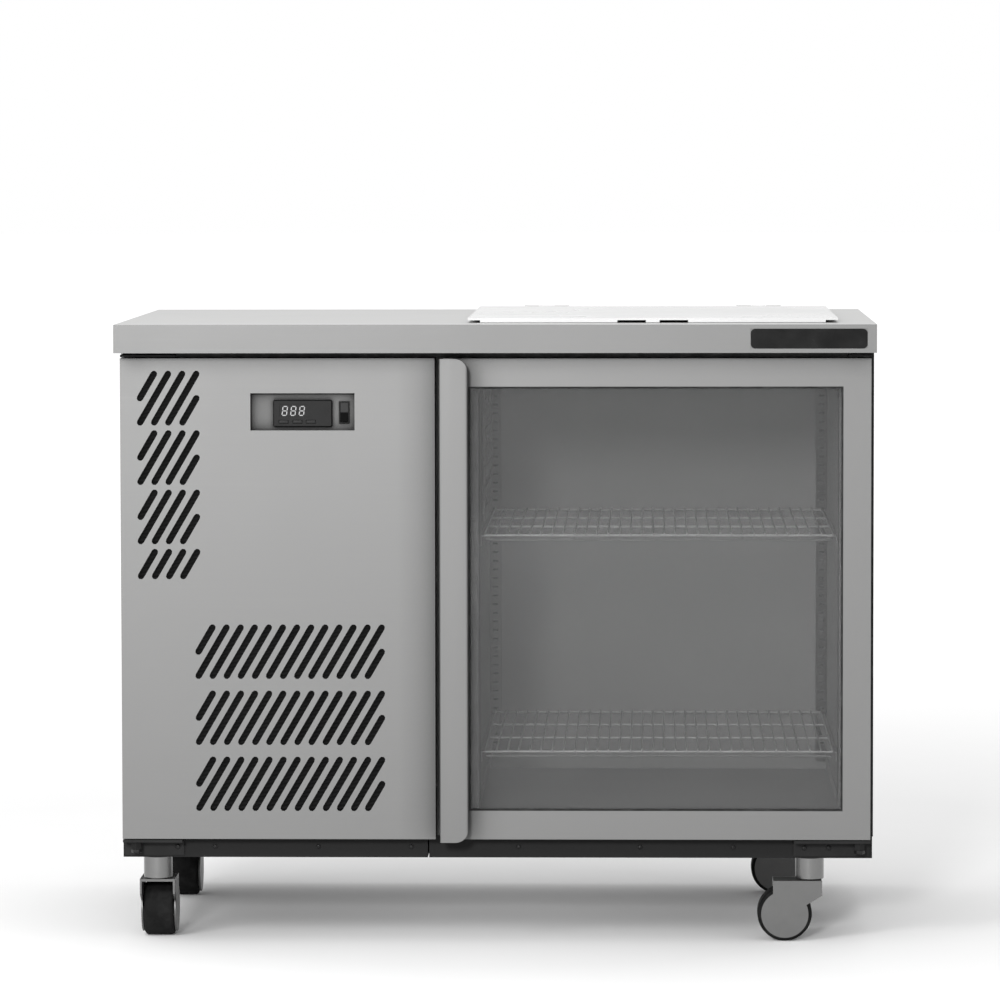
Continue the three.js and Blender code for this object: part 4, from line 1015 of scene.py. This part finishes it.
# ---------------------------------------------------------------- castors
def build_castor(corner):
    name = f"castor_{corner}"
    stem, wheel = Box(f"{name}_stem"), Box(f"{name}_wheel")
    trail = math.hypot(wheel.x - stem.x, wheel.y - stem.y)
    turn = math.atan2(wheel.y - stem.y, wheel.x - stem.x)
    move = Matrix.Translation((stem.x, stem.y, 0)) @ Matrix.Rotation(turn, 4, "Z")
    r = wheel.z
    top = stem.z0 - 1

    def placed(suffix, bm, body, look, node, slot, **extra):
        bmesh.ops.transform(bm, matrix=move, verts=bm.verts)
        make(f"{name}_{suffix}", bm, body, look, node, slot, **extra)

    bm = bmesh.new()
    post = [(0, stem.z0), (19.2, stem.z0), (20, stem.z0 + 0.8)]
    post += [(20, stem.z1 - 0.8), (19.2, stem.z1), (0, stem.z1)]
    add_lathe(bm, post, "z", (0, 0), 48)
    placed("post", bm, "cabinet", steel_post, [f"{name}_stem"], "chrome", smooth=25)

    wheel_width = wheel.x1 - wheel.x0 if abs(math.sin(turn)) > 0.5 else wheel.y1 - wheel.y0
    cover, half, plate = 33.0, wheel_width / 2 + 3.5, 2.5
    outline = (
        [(trail + 16.5, top), (trail - 52, top), (trail - 52, r + 26), (trail - 30.1, r + 13.3)]
        + arc(trail, r, cover, 156, 420, 44)
    )
    bm = bmesh.new()
    for y in (-half, half - plate):
        add_prism(bm, outline, "y", y, y + plate)
    add_box(bm, trail - 51.6, trail + 16.1, -half + 0.4, half - 0.4, top - 3.6, top - 0.2)
    placed("cheeks", bm, f"{name}_fork", steel_castor, [f"{name}_fork"], "grey_plastic", smooth=25, edge=0.5)
    bm = bmesh.new()
    axle_end = [(0, half + 0.06), (6.6, half + 0.06), (7.0, half - 0.2)]
    add_lathe(bm, [(a, -b) for a, b in axle_end] + axle_end[::-1], "y", (trail, r), 28)
    placed("axle", bm, f"{name}_fork", steel_castor, (), "chrome")

    tread = half - 3.5
    bm = bmesh.new()
    profile = (
        [(26, -tread + 1.0), (31, -tread + 0.4)]
        + [(r - 5 + a, -tread + 5 + b) for a, b in arc(0, 0, 5, -80, 0, 5)]
        + [(r - 5 + a, tread - 5 + b) for a, b in arc(0, 0, 5, 0, 80, 5)]
        + [(31, tread - 0.4), (26, tread - 1.0)]
    )
    add_ring(bm, profile, "y", (trail, r), 56)
    placed("tyre", bm, f"{name}_wheel", tyre_rubber, [f"{name}_wheel"], "castor_rubber", smooth=40)
    bm = bmesh.new()
    hub = [
        (7.4, -tread), (11, -tread), (12, -tread + 3), (22, -tread + 5), (24, -tread + 1.6),
        (26.2, -tread + 1.2)
    ]
    profile = hub + [(a, -b) for a, b in reversed(hub)]
    add_ring(bm, profile, "y", (trail, r), 40)
    placed("hub", bm, f"{name}_wheel", hub_plastic, (), "grey_plastic", smooth=30)


for corner in CORNERS:
    build_castor(corner)


# ---------------------------------------------------------------- controls
# The seven bars of a digit, from one end to the other, on a cell one unit wide and high.
SEGMENTS = (
    (0, 1, 1, 1), (1, 1, 1, 0.5), (1, 0.5, 1, 0), (0, 0, 1, 0),
    (0, 0, 0, 0.5), (0, 0.5, 0, 1), (0, 0.5, 1, 0.5)
)
SWITCH_Z = 741.3


def build_controls():
    b = Box("controller_housing")
    front = b.y0
    bm = bmesh.new()
    outline = rounded(b.x0, b.x1, b.z0, b.z1, 2.0)
    inner = rounded(b.x0 + 1.2, b.x1 - 1.2, b.z0 + 1.2, b.z1 - 1.2, 1.4)
    loops = [
        [(x, y, z) for x, z in shape]
        for shape, y in ((outline, front + 6), (outline, front + 1.2), (inner, front))
    ]
    add_loft(bm, loops)
    add_box(bm, b.x0 + 5, b.x1 - 5, front + 5.5, b.y1, b.z0 + 4, b.z1 - 4)
    window = bmesh.new()
    add_prism(window, rounded(-300, -258, 735.2, 753.2, 1.5, 3), "y", front - 2, front + 1)
    bm = boolean(bm, window, "DIFFERENCE")
    for n in range(1, 4):
        key = Box(f"controller_button_{n}")
        pocket = bmesh.new()
        outline = rounded(key.x0 - 0.4, key.x1 + 0.4, key.z0 - 0.4, key.z1 + 0.4, 1.2, 3)
        add_prism(pocket, outline, "y", front - 2, front + 4.5)
        bm = boolean(bm, pocket, "DIFFERENCE")
    make("controller_bezel", bm, "cabinet", black_moulded, ["controller_housing"], "black_plastic", smooth=30)

    # Three seven-segment digits lie in the window, leaning to the right.
    bm = bmesh.new()
    width, height, stroke, lean = 6.2, 12.4, 1.3, 0.13
    for i in range(3):
        x0, z0 = -296.5 + i * 11.85, 737.6
        for u0, v0, u1, v1 in SEGMENTS:
            p = Vector((u0 * width, v0 * height))
            q = Vector((u1 * width, v1 * height))
            along = (q - p).normalized()
            side = Vector((-along.y, along.x)) * stroke / 2
            p, q = p + along * 0.5, q - along * 0.5
            tip = along * stroke / 2
            shape = [p, p + tip + side, q - tip + side, q, q - tip - side, p + tip - side]
            shape = [(x0 + s.x + s.y * lean, z0 + s.y) for s in shape]
            add_prism(bm, shape, "y", front + 0.45, front + 0.95)
    make("display_digits", bm, "cabinet", digit_glow, slot="black_plastic", smooth=0)

    for n in range(1, 4):
        key = Box(f"controller_button_{n}")
        bm = bmesh.new()
        shapes = [(0.0, key.y1), (0.0, key.y0 + 0.6), (0.5, key.y0 + 0.1), (1.1, key.y0)]
        loops = []
        for s, y in shapes:
            ring = rounded(key.x0 + s, key.x1 - s, key.z0 + s * 0.6, key.z1 - s * 0.6, 1.0, 4)
            loops.append([(x, y, z) for x, z in ring])
        add_loft(bm, loops)
        make(f"key_{n}", bm, f"controller_button_{n}", black_key, [f"controller_button_{n}"], "black_plastic")

    rocker = Box("power_rocker")
    plate = Box("control_bracket")
    bm = bmesh.new()
    outer = (rocker.x - 5.3, rocker.x + 5.3, SWITCH_Z - 13.5, SWITCH_Z + 13.5)
    flange = [(1.7, -0.2), (1.7, -1.6), (1.1, -2.2), (0.2, -2.2), (0, -1.8), (0, -0.2)]
    add_frame(bm, [(out, plate.y0 + y) for out, y in flange], outer)
    make("switch_surround", bm, "cabinet", black_moulded, slot="black_plastic", smooth=0, edge=0.2)


build_controls()


# ---------------------------------------------------------------- floor, light and camera
def stage_floor():
    look = Look("studio_floor", Roughness=0.9, Specular_IOR_Level=0.1)
    look.colour(look.ramp(look.noise(3.0, detail=3.0), [(0.3, grey(0.795)), (0.7, grey(0.805))]))
    # The sweep runs out to pure white away from the object.
    distance = add_node(look.tree, "VectorMath", {"operation": "LENGTH"}, Vector=look.coords).outputs["Value"]
    socket(look.shader, "Emission Color", grey(1.0))
    # A painted glow under the cabinet lightens its shadow on the floor.
    near = look.ranged(distance, 0.1, 0.0, 0.1, 0.5)
    far = look.ranged(distance, 0.01, 0.28, 1.5, 4.2)
    socket(look.shader, "Emission Strength", look.math("ADD", near, far))
    mesh = bpy.data.meshes.new("floor")
    size = 60
    mesh.from_pydata(
        [(-size, -size, 0), (size, -size, 0), (size, size, 0), (-size, size, 0)], [], [(0, 1, 2, 3)]
    )
    mesh.materials.append(look.material)
    floor = bpy.data.objects.new("floor", mesh)
    scene.collection.objects.link(floor)


def area_light(name, location, target, size, power):
    data = bpy.data.lights.new(name, "AREA")
    data.shape, data.size, data.size_y, data.energy = "RECTANGLE", *size, power
    light = bpy.data.objects.new(name, data)
    light.location = location
    light.rotation_mode = "QUATERNION"
    light.rotation_quaternion = (Vector(target) - Vector(location)).to_track_quat("-Z", "Y")
    scene.collection.objects.link(light)


def world_light():
    world = bpy.data.worlds.new("studio")
    scene.world = world
    world.use_nodes = True
    background = world.node_tree.nodes["Background"]
    background.inputs["Color"].default_value = grey(1.0)
    background.inputs["Strength"].default_value = 1.0


stage_floor()
world_light()
area_light("key", (-1.5, -2.4, 1.7), (0, -0.3, 0.5), (0.9, 0.9), 36)
area_light("front_fill", (-1.2, -9.0, 2.6), (0, 0, 0.4), (1.0, 1.0), 500)
area_light("overhead", (0.0, 0.3, 3.6), (0, 0, 0.8), (1.6, 1.6), 12)

camera = bpy.data.cameras.new("camera")
camera.lens = 196.92
camera.sensor_width = 36
eye = bpy.data.objects.new("camera", camera)
eye.location = (0.2155, -7.8598, 1.1127)
yaw, pitch, roll = math.radians(-1.5876), math.radians(-3.7242), math.radians(-0.1008)
eye.rotation_mode = "QUATERNION"
tilt = Matrix.Rotation(math.pi / 2 + pitch, 3, "X")
turned = Matrix.Rotation(-yaw, 3, "Z") @ tilt @ Matrix.Rotation(roll, 3, "Z")
eye.rotation_quaternion = turned.to_quaternion()
scene.collection.objects.link(eye)
scene.camera = eye
scene.view_settings.view_transform = "Standard"
